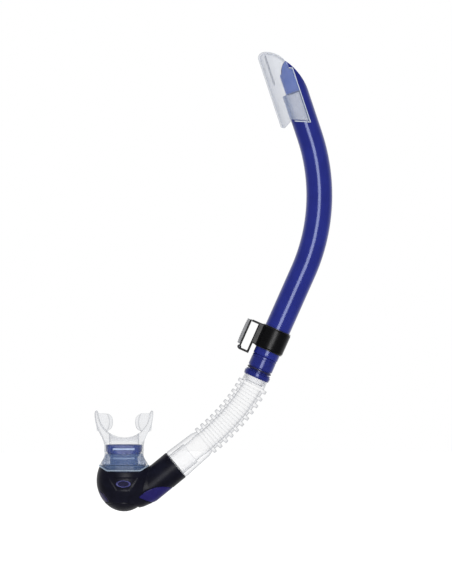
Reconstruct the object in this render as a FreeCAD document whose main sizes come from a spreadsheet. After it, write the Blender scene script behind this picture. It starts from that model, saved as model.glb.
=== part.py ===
import FreeCAD, Part
import math
import os
import re
import Sketcher
from FreeCAD import Placement, Rotation, Vector

# Snorkel tube in millimetres. +Z is up, +X points away from the mouthpiece, and the whole snorkel
# bends in the XZ plane. The origin is the centre of the mask-strap slot in the keeper, because that
# slot is what carries the snorkel.

DIMENSIONS = {
    # barrel: straight foot, one long bend, straight top
    "lower_lean": 24.0, "upper_lean": 18.4,
    "tube_radius": 12.5, "tube_wall": 2.0, "tube_foot": 17.8,
    "straight_run": 71.8, "bend_radius": 181.0, "upper_run": 75.5,
    # cut-outs at the top of the barrel, measured from the end of the bend
    "window_low": 13.0, "window_high": 44.0, "window_edge": 4.5, "window_slope": 0.45,
    "flat_offset": 7.4, "flat_top": 64.0, "tongue_start": 42.0, "tip_drop": 0.2,
    "tongue_in_across": 4.6, "tongue_in_up": 71.2, "tongue_out_across": 8.7, "tongue_out_up": 59.8,
    "baffle_thick": 1.5, "baffle_rail": 1.2,
    # splash cap
    "cap_radius": 14.2, "cap_wall": 1.5, "cap_centre": 9.8, "cap_low": 14.0, "cap_high": 90.0,
    "cap_hem": 11.4, "sleeve_radius": 12.9,
    "vane_place": 16.7, "vane_thick": 1.2, "vane_low": 57.0, "vane_high": 86.0,
    # outline of the cap from the side, across and up from the end of the bend
    "step_across": 0.9, "step_low": 66.5, "step_high": 68.0, "brow_across": 0.6, "brow_up": 76.6,
    "brow_arc_across": 7.6, "brow_arc_up": 85.2, "crown_across": 18.3, "crown_arc_across": 22.6,
    "crown_arc_up": 88.4, "back_across": 24.4, "back_high": 84.5, "back_low": 16.5, "tail_across": 20.2,
    "lip_across": 11.1, "lip_up": 19.7, "vee_across": 9.2, "vee_up": 17.4,
    # the same for the room inside it
    "room_brow_up": 75.5, "room_arc_across": 8.2, "room_arc_up": 84.0, "room_crown_across": 18.1,
    "room_round_across": 21.4, "room_round_up": 87.2, "room_back_high": 84.2,
    # keeper: liner, clip and strap gate
    "slot_gap": 7.4, "slot_length": 27.4, "slot_offset": 22.25, "slot_drop": 5.3,
    "liner_bore": 12.58, "liner_radius": 13.1, "liner_lip": 13.9, "liner_half": 11.3, "lip_width": 0.65,
    "clip_bore": 13.18, "clip_radius": 14.3, "clip_half": 10.5, "clip_wall": 1.5, "arm_depth": 14.0,
    "arm_root": 8.0, "arm_shoulder": 13.0,
    "gate_thick": 1.6, "gate_gap": 0.3, "pin_radius": 0.8, "pin_clearance": 0.06, "pin_length": 13.6,
    "knuckle_radius": 1.9, "gate_knuckle": 1.7, "knuckle_width": 6.6,
    "pad_thick": 3.2, "pad_low": 15.8, "pad_rib": 1.1, "pad_pitch": 2.6,
    # swivel between barrel and hose
    "plug_radius": 10.4, "plug_reach": 15.0, "airway_radius": 7.6,
    "housing_radius": 12.2, "housing_end": 30.1, "journal_radius": 8.9, "journal_end": 46.3,
    "seal_radius": 12.45, "seal_top": 31.0, "seal_end": 32.5,
    "ring_radius": 12.95, "ring_bore": 8.97, "ring_top": 33.6, "ring_end": 39.5,
    "tail_radius": 10.2, "tail_end": 43.9,
    "clip_seat_radius": 8.25, "snap_radius": 9.15, "snap_top": 44.4, "snap_end": 45.4, "snap_gap": 3.0,
    # ribbed hose: one rib for each link, a ball on top and a socket below
    "first_rib": 48.4, "rib_pitch": 6.9, "hose_start": 28.0, "hose_finish": 50.6, "bend_ease": 0.8,
    "rib_radius": 15.0, "rib_half": 1.25, "hose_radius": 11.5, "hose_bore": 9.3,
    "ball_radius": 10.3, "socket_radius": 10.6, "ball_top": 1.8, "socket_lip": 0.4,
    "shoulder_drop": 2.7, "socket_roof": 0.55, "neck_lift": 1.4, "neck_lap": 2.6,
    "cuff_length": 37.1, "cuff_shoulder": 6.1, "cuff_top_radius": 13.7, "cuff_end_radius": 15.05,
    # chamber, measured from the centre of its bulb
    "neck_across": 50.0, "neck_up": 15.0, "neck_length": 34.6,
    "boot_radius": 15.15, "elbow_radius": 15.3,
    "heel_across": 14.0, "heel_drop": 8.0, "heel_half": 17.0, "heel_depth": 15.5, "heel_height": 18.0,
    "bulb_across": 26.4, "bulb_depth": 21.5, "bulb_height": 29.8, "skin": 2.0, "shell": 2.0,
    "spigot_radius": 11.0, "spigot_reach": 17.8, "end_wall": 2.5,
    "saddle_flat": 16.0, "saddle_low": 9.2, "saddle_edge": 23.6, "saddle_high": 13.6,
    "seat_reach": 24.4, "deck": 1.9,
    "port_across": 17.6, "port_depth": 10.0, "port_top": 34.2, "port_wall": 1.8,
    # purge valve in the bottom of the bulb
    "purge_shift": -0.7, "purge_hole": 15.15, "purge_seat_level": 17.5, "floor_thick": 2.0,
    "seat_hole": 10.5, "seat_rim": 1.6, "spoke_width": 1.6, "hub_radius": 2.8, "stem_hole": 1.35,
    "disc_radius": 12.0, "disc_thick": 0.8, "disc_gap": 0.1, "stem_radius": 1.2, "stem_bulb": 1.9,
    "stem_neck_up": 2.0, "stem_bulb_up": 2.4, "stem_tip_up": 4.0, "stem_end_up": 4.4,
    "boss_inner": 3.0, "boss_outer": 4.0, "boss_drop": 0.6,
    "cover_radius": 15.0, "cover_wall": 1.6, "cover_top": 17.9, "vent_width": 2.0, "vent_pitch": 4.4,
    "vent_length": 18.0, "vent_rise": 3.0, "vent_taper": 2.4,
    # indigo window in the soft outer skin: its near tip, top of its curve, far tip and low corner
    "leaf_near": 14.5, "leaf_near_drop": 15.7, "leaf_top": 30.0, "leaf_top_drop": 6.2,
    "leaf_far": 46.9, "leaf_far_drop": 6.9, "leaf_low": 26.7, "leaf_low_drop": 21.1,
    # two corners that take the window's outline out below the chamber
    "leaf_out": 51.9, "leaf_out_drop": 15.7, "leaf_under": 36.0, "leaf_under_drop": 30.1,
    # badge
    "badge_across": 6.7, "badge_height": 3.4, "badge_drop": 2.2, "badge_proud": 0.5, "badge_depth": 1.0,
    # mouthpiece, also measured from the centre of the bulb
    "boot_across": 23.4, "boot_depth": 16.5, "neck_half": 18.9, "neck_depth": 12.0,
    "waist_level": 25.0, "arm_level": 35.0, "breath_across": 14.5, "breath_depth": 6.5,
    "flange_level": 66.0, "flange_outer": 27.9, "flange_inner": 25.4, "flange_tip": 67.3,
    "arm_bend_across": 21.2, "arm_bend_up": 42.6, "arm_arc_across": 25.4, "arm_arc_up": 51.0,
    "flange_half": 13.5, "lug_inner": 10.6, "lug_low": 47.5, "lug_high": 64.5,
    "lug_thick": 3.2, "lip_half": 5.0, "lip_thick": 3.4,
    # size of the cutters, larger than whatever they cut, and how far a cutter runs past a face
    "beyond": 80.0, "overshoot": 1.0,
}

HOSE_LINKS = 9
PURGE_VENTS = 5
PAD_RIBS = 9
PURGE_SPOKES = 3


doc = FreeCAD.newDocument("snorkel_tube")
sheet = doc.addObject("Spreadsheet::Sheet", "dims")
for row, (alias, size) in enumerate(DIMENSIONS.items(), start=1):
    sheet.set(f"A{row}", alias)
    sheet.set(f"B{row}", str(size))
    sheet.setAlias(f"B{row}", alias)
doc.recompute()

nodes = []


# ---------------------------------------------------------------- helpers
def linked(text):
    """The text of a size as an expression on the sheet."""
    return re.sub(r"[a-z_]+", lambda word: f"dims.{word[0]}" if word[0] in DIMENSIONS else word[0], text)


def value(text):
    """The size that a text gives now, as a number."""
    size = sheet.evalExpression(linked(text))
    return float(getattr(size, "Value", size))


def bind(thing, **sizes):
    """Ties properties of a document object to the sheet."""
    for name, text in sizes.items():
        thing.setExpression(name.replace("__", "."), linked(text))
    return thing


def keep(thing, label):
    """Marks a document object as a finished sub-part."""
    thing.Label = label
    nodes.append(thing)
    return thing


def new_body(label, place):
    body = doc.addObject("PartDesign::Body", label)
    body.Placement = place
    return body


def new_sketch(body, name, role):
    sketch = body.newObject("Sketcher::SketchObject", name)
    plane = next(item for item in body.Origin.OriginFeatures if item.Role == role)
    sketch.AttachmentSupport = [(plane, "")]
    sketch.MapMode = "FlatFace"
    return sketch


def pin_point(sketch, index, position, x, y):
    """Holds one point of a sketch at two sheet sizes from the sketch's origin."""
    for kind, text in (("DistanceX", x), ("DistanceY", y)):
        rule = sketch.addConstraint(Sketcher.Constraint(kind, -1, 1, index, position, value(text)))
        sketch.setExpression(f"Constraints[{rule}]", linked(text))


def draw_outline(sketch, corners):
    """A closed outline. A corner is (x, y); (x, y, "arc") is a point that an arc passes through."""
    spots = [Vector(value(corner[0]), value(corner[1]), 0) for corner in corners]
    ends = [index for index, corner in enumerate(corners) if len(corner) == 2]
    edges = []
    for here, there in zip(ends, ends[1:] + ends[:1]):
        middle = (here + 1) % len(corners)
        if middle == there:
            edge = Part.LineSegment(spots[here], spots[there])
        else:
            edge = Part.Arc(spots[here], spots[middle], spots[there])
        index = sketch.addGeometry(edge, False)
        first = 1 if sketch.getPoint(index, 1).distanceToPoint(spots[here]) < 1e-6 else 2
        edges.append((index, first, here, middle if middle != there else None))
    for (index, first, here, _), (after, after_first, _, _) in zip(edges, edges[1:] + edges[:1]):
        sketch.addConstraint(Sketcher.Constraint("Coincident", index, 3 - first, after, after_first))
    for index, first, here, middle in edges:
        pin_point(sketch, index, first, corners[here][0], corners[here][1])
        if middle is not None:
            point = sketch.addGeometry(Part.Point(spots[middle]), True)
            pin_point(sketch, point, 1, corners[middle][0], corners[middle][1])
            sketch.addConstraint(Sketcher.Constraint("PointOnObject", point, 1, index))


def draw_circle(sketch, radius, x="0", y="0"):
    spot = Vector(value(x), value(y), 0)
    index = sketch.addGeometry(Part.Circle(spot, Vector(0, 0, 1), value(radius)), False)
    rule = sketch.addConstraint(Sketcher.Constraint("Radius", index, value(radius)))
    sketch.setExpression(f"Constraints[{rule}]", linked(radius))
    pin_point(sketch, index, 3, x, y)


def revolve(body, name, corners):
    """Turns an outline (radius, height) about the body's own Z axis."""
    sketch = new_sketch(body, f"{name}_outline", "XZ_Plane")
    draw_outline(sketch, corners)
    turned = body.newObject("PartDesign::Revolution", name)
    turned.Profile = sketch
    turned.ReferenceAxis = (sketch, ["V_Axis"])
    turned.Angle = 360
    return turned


def pad(body, name, depth, corners=None, circles=(), role="XZ_Plane"):
    """Pads an outline or circles, half of the depth to each side of the plane."""
    sketch = new_sketch(body, f"{name}_outline", role)
    if corners:
        draw_outline(sketch, corners)
    for circle in circles:
        draw_circle(sketch, *circle)
    padded = body.newObject("PartDesign::Pad", name)
    padded.Profile = sketch
    padded.Midplane = True
    return bind(padded, Length=depth)


def pocket(body, name, corners=None, circles=(), role="XZ_Plane", depth=None):
    """Cuts an outline or circles to both sides of the plane, right through unless a depth is given."""
    sketch = new_sketch(body, f"{name}_outline", role)
    if corners:
        draw_outline(sketch, corners)
    for circle in circles:
        draw_circle(sketch, *circle)
    cut = body.newObject("PartDesign::Pocket", name)
    cut.Profile = sketch
    cut.Midplane = True
    if depth is None:
        cut.Type = "ThroughAll"
    else:
        bind(cut, Length=depth)
    return cut


def turned_body(label, place, corners):
    body = new_body(label, place)
    revolve(body, f"{label}_turn", corners)
    return body


def padded_body(label, place, depth, corners=None, circles=(), role="XZ_Plane"):
    body = new_body(label, place)
    pad(body, f"{label}_pad", depth, corners, circles, role)
    return body


def primitive(kind, label, place, **sizes):
    thing = doc.addObject(kind, label)
    thing.Placement = place
    return bind(thing, **sizes)


def fused(label, shapes):
    thing = doc.addObject("Part::MultiFuse", label)
    thing.Shapes = shapes
    thing.Refine = True
    return thing


def common(label, first, second):
    thing = doc.addObject("Part::Common", label)
    thing.Base = first
    thing.Tool = second
    return thing


def cut(label, base, tools):
    """The base without the tools, which are fused first where there is more than one."""
    thing = doc.addObject("Part::Cut", label)
    thing.Base = base
    thing.Tool = tools[0] if len(tools) == 1 else fused(f"{label}_tools", tools)
    return thing


def rectangle(low_x, low_y, high_x, high_y):
    return [(low_x, low_y), (high_x, low_y), (high_x, high_y), (low_x, high_y)]


def round_ended(half_across, half_depth):
    """An outline with two straight sides and two half-round ends."""
    straight = f"({half_across} - {half_depth})"
    return [
        (f"-{straight}", f"-{half_depth}"), (straight, f"-{half_depth}"),
        (half_across, "0", "arc"), (straight, half_depth),
        (f"-{straight}", half_depth), (f"-{half_across}", "0", "arc"),
    ]


def leaning(position, lean):
    """A frame whose Z axis leans from the vertical towards +X by an angle in degrees."""
    return Placement(position, Rotation(Vector(0, 1, 0), lean))


# ---------------------------------------------------------------- frames
slot_to_axis = Vector(value("slot_offset"), 0, value("slot_drop"))
tube_lean = Rotation(Vector(0, 1, 0), value("lower_lean"))
tube_frame = Placement(tube_lean.multVec(slot_to_axis), tube_lean)

bend_turn = value("lower_lean + upper_lean")
bend_end = Vector(-value("bend_radius") * (1 - math.cos(math.radians(bend_turn))), 0,
                  value("straight_run") + value("bend_radius") * math.sin(math.radians(bend_turn)))
top_frame = leaning(tube_frame.multVec(bend_end), -value("upper_lean"))


def rib_lean(index):
    """How far a rib's axis leans: the hose bends most near the swivel."""
    share = (index / (HOSE_LINKS + 1)) ** value("bend_ease")
    return value("hose_start") + (value("hose_finish") - value("hose_start")) * share


rib_frames = [leaning(tube_frame.multVec(Vector(0, 0, -value("first_rib"))), rib_lean(0))]
half_pitch = Vector(0, 0, -value("rib_pitch") / 2)
for index in range(1, HOSE_LINKS + 2):
    pivot = rib_frames[-1].multVec(half_pitch)
    lean = Rotation(Vector(0, 1, 0), rib_lean(index))
    rib_frames.append(Placement(pivot + lean.multVec(half_pitch), lean))

neck_place = rib_frames[-1].multVec(Vector(0, 0, -value("cuff_length")))
neck_frame = leaning(neck_place, value("hose_finish"))
bulb_place = neck_place - Vector(value("neck_across"), 0, value("neck_up"))
bulb_frame = Placement(bulb_place, Rotation())


# ---------------------------------------------------------------- barrel
def build_main_tube():
    body = new_body("main_tube", tube_frame)
    ring = new_sketch(body, "tube_ring", "XY_Plane")
    bind(ring, AttachmentOffset__Base__z="-tube_foot")
    draw_circle(ring, "tube_radius")
    draw_circle(ring, "tube_radius - tube_wall")

    turn = "(lower_lean + upper_lean) * 1deg"
    end_x = f"-bend_radius * (1 - cos({turn}))"
    end_y = f"straight_run + bend_radius * sin({turn})"
    path = new_sketch(body, "tube_path", "XZ_Plane")
    stops = [("0", "-tube_foot"), ("0", "straight_run"), (end_x, end_y),
             (f"{end_x} - upper_run * sin({turn})", f"{end_y} + upper_run * cos({turn})")]
    spots = [Vector(value(x), value(y), 0) for x, y in stops]
    half_x = f"-bend_radius * (1 - cos({turn} / 2))"
    half_y = f"straight_run + bend_radius * sin({turn} / 2)"
    path.addGeometry(Part.LineSegment(spots[0], spots[1]), False)
    path.addGeometry(Part.Arc(spots[1], Vector(value(half_x), value(half_y), 0), spots[2]), False)
    path.addGeometry(Part.LineSegment(spots[2], spots[3]), False)
    path.addConstraint(Sketcher.Constraint("Coincident", 0, 2, 1, 1))
    path.addConstraint(Sketcher.Constraint("Coincident", 1, 2, 2, 1))
    for edge, (x, y) in zip((0, 1, 2), stops):
        pin_point(path, edge, 1, x, y)
    pin_point(path, 2, 2, *stops[3])
    rule = path.addConstraint(Sketcher.Constraint("Radius", 1, value("bend_radius")))
    path.setExpression(f"Constraints[{rule}]", linked("bend_radius"))

    pipe = body.newObject("PartDesign::AdditivePipe", "tube_pipe")
    pipe.Profile = ring
    pipe.Spine = (path, ["Edge1", "Edge2", "Edge3"])
    doc.recompute()

    # The drain window on the inner side, the flat for the baffle and the pointed tongue at the tip.
    top = pocket(body, "tube_top", [
        ("-beyond", "window_low + window_slope * (window_edge + beyond)"), ("window_edge", "window_low"),
        ("window_edge", "window_high"),
        ("-flat_offset", "window_high"), ("-flat_offset", "flat_top"),
        ("-tongue_in_across", "tongue_in_up", "arc"), ("0", "upper_run - tip_drop"),
        ("tongue_out_across", "tongue_out_up", "arc"), ("tube_radius", "tongue_start"),
        ("beyond", "tongue_start"), ("beyond", "upper_run + beyond"), ("-beyond", "upper_run + beyond"),
    ])
    outline = top.Profile[0]
    bind(outline, AttachmentOffset__Base__x=end_x, AttachmentOffset__Base__y=end_y,
         AttachmentOffset__Rotation__Angle="lower_lean + upper_lean")
    return keep(body, "main_tube")


def build_guard_baffle():
    body = new_body("guard_baffle", top_frame)
    back = "-flat_offset - baffle_thick"
    reach = "sqrt(tube_radius ^ 2 - (flat_offset + baffle_thick) ^ 2)"
    pad(body, "baffle_plate", f"2 * {reach}",
        rectangle(back, "window_high + 0.2", "-flat_offset", "flat_top"))
    bore = "sqrt((tube_radius - tube_wall) ^ 2 - flat_offset ^ 2)"
    pad(body, "baffle_rails", f"2 * ({bore} - 0.2)",
        rectangle("-flat_offset", "window_high + 0.6", "-flat_offset + 2", "flat_top - 2"))
    pocket(body, "baffle_between", rectangle("-flat_offset", "0", "beyond", "beyond"),
           depth=f"2 * ({bore} - 0.2 - baffle_rail)")
    return keep(body, "guard_baffle")


def cap_section(label, radius, low, high):
    """A solid with the cap's cross-section: half-round on the inner side, straight legs over the tube."""
    body = new_body(label, top_frame)
    sketch = new_sketch(body, f"{label}_outline", "XY_Plane")
    bind(sketch, AttachmentOffset__Base__z=low)
    draw_outline(sketch, [
        ("-cap_centre", f"-({radius})"), ("beyond", f"-({radius})"), ("beyond", radius),
        ("-cap_centre", radius), (f"-cap_centre - ({radius})", "0", "arc"),
    ])
    padded = body.newObject("PartDesign::Pad", f"{label}_pad")
    padded.Profile = sketch
    bind(padded, Length=f"{high} - ({low})")
    return body


def build_splash_cap():
    edge = "window_edge"
    outer_side = padded_body("cap_side_outer", top_frame, "beyond", [
        (edge, "cap_hem"), (edge, "step_low"), ("step_across", "step_high"), ("-brow_across", "brow_up"),
        ("-brow_arc_across", "brow_arc_up", "arc"), ("-crown_across", "cap_high"),
        ("-crown_arc_across", "crown_arc_up", "arc"), ("-back_across", "back_high"),
        ("-back_across", "back_low"), ("-tail_across", "cap_low + 0.6"), ("-lip_across", "lip_up"),
        ("-vee_across", "vee_up"),
    ])
    outer = common("cap_outer",
                   cap_section("cap_section_outer", "cap_radius", "0", "cap_high + overshoot"), outer_side)
    inner_side = padded_body("cap_side_inner", top_frame, "beyond", [
        ("beyond", "-beyond"), ("beyond", "room_brow_up"), ("-brow_across", "room_brow_up"),
        ("-room_arc_across", "room_arc_up", "arc"), ("-room_crown_across", "cap_high - cap_wall"),
        ("-room_round_across", "room_round_up", "arc"), ("-back_across + cap_wall", "room_back_high"),
        ("-back_across + cap_wall", "-beyond"),
    ])
    inner = common("cap_inner", cap_section("cap_section_inner", "cap_radius - cap_wall", "-overshoot",
                                            "cap_high + overshoot"), inner_side)
    hood = cut("cap_hood", outer, [inner])

    sleeve = new_body("cap_sleeve", top_frame)
    ring = new_sketch(sleeve, "sleeve_ring", "XY_Plane")
    bind(ring, AttachmentOffset__Base__z="window_low + 0.1")
    draw_circle(ring, "sleeve_radius")
    draw_circle(ring, "tube_radius - tube_wall")
    padded = sleeve.newObject("PartDesign::Pad", "sleeve_pad")
    padded.Profile = ring
    bind(padded, Length="window_high - window_low - 0.2")
    pocket(sleeve, "sleeve_open", rectangle("window_edge - 0.1", "0", "beyond", "beyond"))
    pocket(sleeve, "sleeve_hem", [
        ("-beyond", "0"), ("window_edge", "0"), ("window_edge", "window_low + 0.1"),
        ("-beyond", "window_low + 0.1 + window_slope * (window_edge + beyond)"),
    ])

    vane = padded_body("cap_vane", top_frame, "2 * (cap_radius - 3)",
                       rectangle("-vane_place - vane_thick / 2", "vane_low", "-vane_place + vane_thick / 2",
                                 "vane_high"))
    return keep(fused("splash_cap", [hood, sleeve, vane]), "splash_cap")


# ---------------------------------------------------------------- swivel
def build_swivel():
    keep(turned_body("swivel_housing", tube_frame, [
        ("airway_radius", "plug_reach - tube_foot"), ("plug_radius - 0.8", "plug_reach - tube_foot"),
        ("plug_radius", "plug_reach - tube_foot - 1"), ("plug_radius", "-tube_foot - 0.1"),
        ("housing_radius - 0.4", "-tube_foot - 0.1"), ("housing_radius", "-tube_foot - 0.5"),
        ("housing_radius", "-housing_end + 0.5"), ("housing_radius - 0.5", "-housing_end"),
        ("journal_radius", "-housing_end"), ("journal_radius", "-snap_top + 0.1"),
        ("clip_seat_radius", "-snap_top + 0.1"), ("clip_seat_radius", "-snap_end - 0.1"),
        ("journal_radius - 0.2", "-snap_end - 0.1"), ("journal_radius - 0.2", "-journal_end"),
        ("airway_radius", "-journal_end"),
    ]), "swivel_housing")
    keep(turned_body("swivel_seal", tube_frame, [
        ("journal_radius + 0.05", "-seal_top"), ("seal_radius - 0.3", "-seal_top"),
        ("seal_radius", "(-seal_top - seal_end) / 2", "arc"), ("seal_radius - 0.3", "-seal_end"),
        ("journal_radius + 0.05", "-seal_end"),
    ]), "swivel_seal")
    clip = turned_body("snap_ring", tube_frame,
                       rectangle("clip_seat_radius", "-snap_end", "snap_radius", "-snap_top"))
    pocket(clip, "snap_split", rectangle("-snap_gap / 2", "-beyond", "snap_gap / 2", "beyond"),
           role="YZ_Plane", depth="2 * beyond")
    gap_side = clip.Tip.Profile[0]
    gap_side.AttachmentOffset = Placement(Vector(0, 0, value("beyond + airway_radius")), Rotation())
    keep(clip, "snap_ring")
    keep(turned_body("swivel_ring", tube_frame, [
        ("ring_bore", "-ring_top"), ("ring_radius - 0.6", "-ring_top"),
        ("ring_radius - 0.6", "-ring_top - 0.9"),
        ("ring_radius", "-ring_top - 1.3"), ("ring_radius", "-ring_end + 0.4"),
        ("ring_radius - 0.4", "-ring_end"), ("tail_radius", "-ring_end"), ("tail_radius", "-tail_end"),
        ("ring_bore", "-tail_end"),
    ]), "swivel_ring")


# ---------------------------------------------------------------- hose
PIVOT = "rib_pitch / 2"
SOCKET = [  # inside of a socket, from the roof down to the lip
    (f"sqrt(socket_radius ^ 2 - ({PIVOT} + socket_roof) ^ 2)", "socket_roof"),
    (f"sqrt(socket_radius ^ 2 - ({PIVOT} - 1.6) ^ 2)", "-1.6", "arc"),
    ("sqrt(socket_radius ^ 2 - socket_lip ^ 2)", f"-({PIVOT}) - socket_lip"),
    ("hose_radius", f"-({PIVOT}) - socket_lip"),
]
RIB = [
    ("hose_radius", "-rib_half"), ("rib_radius - 0.4", "-rib_half"), ("rib_radius", "-rib_half + 0.4"),
    ("rib_radius", "rib_half - 0.4"), ("rib_radius - 0.4", "rib_half"), ("hose_radius", "rib_half"),
]
BALL = [  # outside of a ball, from the shoulder up to its top
    ("hose_radius", f"{PIVOT} - shoulder_drop"),
    ("sqrt(ball_radius ^ 2 - shoulder_drop ^ 2)", f"{PIVOT} - shoulder_drop"),
    ("ball_radius", PIVOT, "arc"),
    ("sqrt(ball_radius ^ 2 - ball_top ^ 2)", f"{PIVOT} + ball_top"),
    ("hose_bore", f"{PIVOT} + ball_top"),
]


def build_hose():
    neck = turned_body("cuff_neck", tube_frame, [
        ("tail_radius", "-ring_end - 0.1"), ("hose_radius - 0.3", "-ring_end - 0.1"),
        ("hose_radius", "-ring_end - 0.4"), ("hose_radius", "-first_rib + neck_lift"),
        ("hose_bore + 0.4", "-first_rib + neck_lift"), ("hose_bore + 0.4", "-tail_end"),
        ("tail_radius", "-tail_end"),
    ])
    rib = turned_body("cuff_rib", rib_frames[0], [("hose_bore + 0.4", "socket_roof")] + SOCKET + RIB + [
        ("hose_radius", "neck_lap"), ("hose_bore + 0.4", "neck_lap"),
    ])
    # The neck stays above the socket, because the first rib leans away from the neck's own end.
    keep(fused("hose_upper_cuff", [neck, rib]), "hose_upper_cuff")
    for index in range(1, HOSE_LINKS + 1):
        label = f"hose_link_{index}"
        profile = [("hose_bore", "socket_roof")] + SOCKET + RIB + BALL
        keep(turned_body(label, rib_frames[index], profile), label)
    keep(turned_body("hose_lower_cuff", rib_frames[-1], [
        ("hose_bore", "-cuff_length + spigot_reach"), ("spigot_radius", "-cuff_length + spigot_reach"),
        ("spigot_radius", "-cuff_length"), ("cuff_end_radius - 0.4", "-cuff_length"),
        ("cuff_end_radius", "-cuff_length + 0.4"), ("cuff_top_radius", "-cuff_shoulder"),
        ("hose_radius", "-rib_half - 1.2"),
    ] + RIB + BALL), "hose_lower_cuff")


# ---------------------------------------------------------------- chamber
def bulb_solid(label, inset, end_wall="0"):
    """The chamber's outer form, drawn in by an even thickness: bulb, neck, elbow and the heel below it."""
    bulb = primitive("Part::Ellipsoid", f"{label}_bulb", bulb_frame,
                     Radius1=f"bulb_height - {inset}", Radius2=f"bulb_across - {inset}",
                     Radius3=f"bulb_depth - {inset}")
    neck_end = neck_frame * Placement(Vector(0, 0, -value("neck_length")), Rotation())
    neck = primitive("Part::Cylinder", f"{label}_neck", neck_end, Radius=f"boot_radius - {inset}",
                     Height=f"neck_length - {end_wall}")
    elbow = primitive("Part::Sphere", f"{label}_elbow", neck_end, Radius=f"elbow_radius - {inset}")
    heel_place = bulb_frame * Placement(Vector(value("heel_across"), 0, -value("heel_drop")), Rotation())
    heel = primitive("Part::Ellipsoid", f"{label}_heel", heel_place, Radius1=f"heel_height - {inset}",
                     Radius2=f"heel_half - {inset}", Radius3=f"heel_depth - {inset}")
    return fused(label, [bulb, neck, elbow, heel])


def above_saddle(label, drop, reach):
    """Everything above the dished seat that the mouthpiece stands on, out to a reach on each side."""
    return padded_body(label, bulb_frame, "2 * beyond", [
        (f"-{reach}", f"saddle_high - {drop}"), ("-saddle_edge", f"saddle_high - {drop}"),
        ("-saddle_flat", f"saddle_low - {drop}"), ("saddle_flat", f"saddle_low - {drop}"),
        ("saddle_edge", f"saddle_high - {drop}"), (reach, f"saddle_high - {drop}"), (reach, "beyond"),
        (f"-{reach}", "beyond"),
    ])


def column(label, half_across, half_depth, low, high):
    """An upright solid with straight sides and half-round ends."""
    body = new_body(label, bulb_frame)
    sketch = new_sketch(body, f"{label}_outline", "XY_Plane")
    bind(sketch, AttachmentOffset__Base__z=low)
    draw_outline(sketch, round_ended(half_across, half_depth))
    padded = body.newObject("PartDesign::Pad", f"{label}_pad")
    padded.Profile = sketch
    bind(padded, Length=f"({high}) - ({low})")
    return body


def upright_cylinder(label, radius, low, high):
    """A cylinder about the purge valve's axis."""
    body = new_body(label, bulb_frame)
    sketch = new_sketch(body, f"{label}_outline", "XY_Plane")
    bind(sketch, AttachmentOffset__Base__z=low)
    draw_circle(sketch, radius, "purge_shift")
    padded = body.newObject("PartDesign::Pad", f"{label}_pad")
    padded.Profile = sketch
    bind(padded, Length=f"({high}) - ({low})")
    return body


def along_neck(label, radius, low, high):
    return primitive("Part::Cylinder", label, neck_frame * Placement(Vector(0, 0, value(low)), Rotation()),
                     Radius=radius, Height=f"({high}) - ({low})")


def build_chamber():
    above = above_saddle("above_saddle", "0", "seat_reach")
    purge_room = upright_cylinder("purge_room", "purge_hole", "-beyond", "-purge_seat_level")
    core = bulb_solid("core_form", "skin")
    trimmed = cut("core_trimmed", core, [above, purge_room])
    port = column("port_outside", "port_across", "port_depth", "saddle_low - 4", "port_top")
    spigot = along_neck("spigot_outside", "spigot_radius", "-2", "spigot_reach")
    solid = fused("chamber_solid", [trimmed, port, spigot])

    deep = bulb_solid("cavity_form", "(skin + shell)", "end_wall")
    lid = above_saddle("cavity_lid", "deck", "seat_reach")
    floor = padded_body("cavity_floor", bulb_frame, "2 * beyond",
                        rectangle("-beyond", "-beyond", "beyond", "-purge_seat_level + floor_thick"))
    cavity = cut("cavity", deep, [lid, floor])
    port_bore = column("port_bore", "port_across - port_wall", "port_depth - port_wall", "0",
                       "port_top + overshoot")
    spigot_bore = along_neck("spigot_bore", "hose_bore", "-spigot_reach", "spigot_reach + overshoot")
    seat_bore = upright_cylinder("seat_bore", "seat_hole", "-beyond", "0")
    keep(cut("chamber_body", solid, [cavity, port_bore, spigot_bore, seat_bore]), "chamber_body")

    # The indigo window wraps under the neck, so its outline runs out past the chamber's lower edge.
    leaf = padded_body("window_leaf", bulb_frame, "2 * beyond", [
        ("leaf_near", "-leaf_near_drop"), ("leaf_top", "-leaf_top_drop", "arc"),
        ("leaf_far", "-leaf_far_drop"), ("leaf_out", "-leaf_out_drop"), ("leaf_under", "-leaf_under_drop"),
        ("leaf_low", "-leaf_low_drop"),
    ])
    badge_place = bulb_frame * Placement(Vector(0, 0, -value("badge_drop")), Rotation())
    badge_disc = new_body("badge_disc", badge_place)
    face = new_sketch(badge_disc, "badge_outline", "XZ_Plane")
    draw_outline(face, [("-badge_across", "0"), ("0", "-badge_height", "arc"), ("badge_across", "0"),
                        ("0", "badge_height", "arc")])
    disc = badge_disc.newObject("PartDesign::Pad", "badge_pad")
    disc.Profile = face
    bind(disc, Length="beyond")
    proud = primitive("Part::Ellipsoid", "badge_outside", bulb_frame, Radius1="bulb_height + badge_proud",
                      Radius2="bulb_across + badge_proud", Radius3="bulb_depth + badge_proud")
    sunk = primitive("Part::Ellipsoid", "badge_inside", bulb_frame, Radius1="bulb_height - badge_depth",
                     Radius2="bulb_across - badge_depth", Radius3="bulb_depth - badge_depth")
    badge = common("oval_badge", cut("badge_layer", proud, [sunk]), badge_disc)
    keep(badge, "oval_badge")

    outside = bulb_solid("boot_form", "0")
    skin = cut("boot_skin", outside, [core, above, purge_room])
    keep(common("neck_window", skin, leaf), "neck_window")
    keep(cut("chamber_boot", skin, [leaf, badge]), "chamber_boot")


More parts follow.
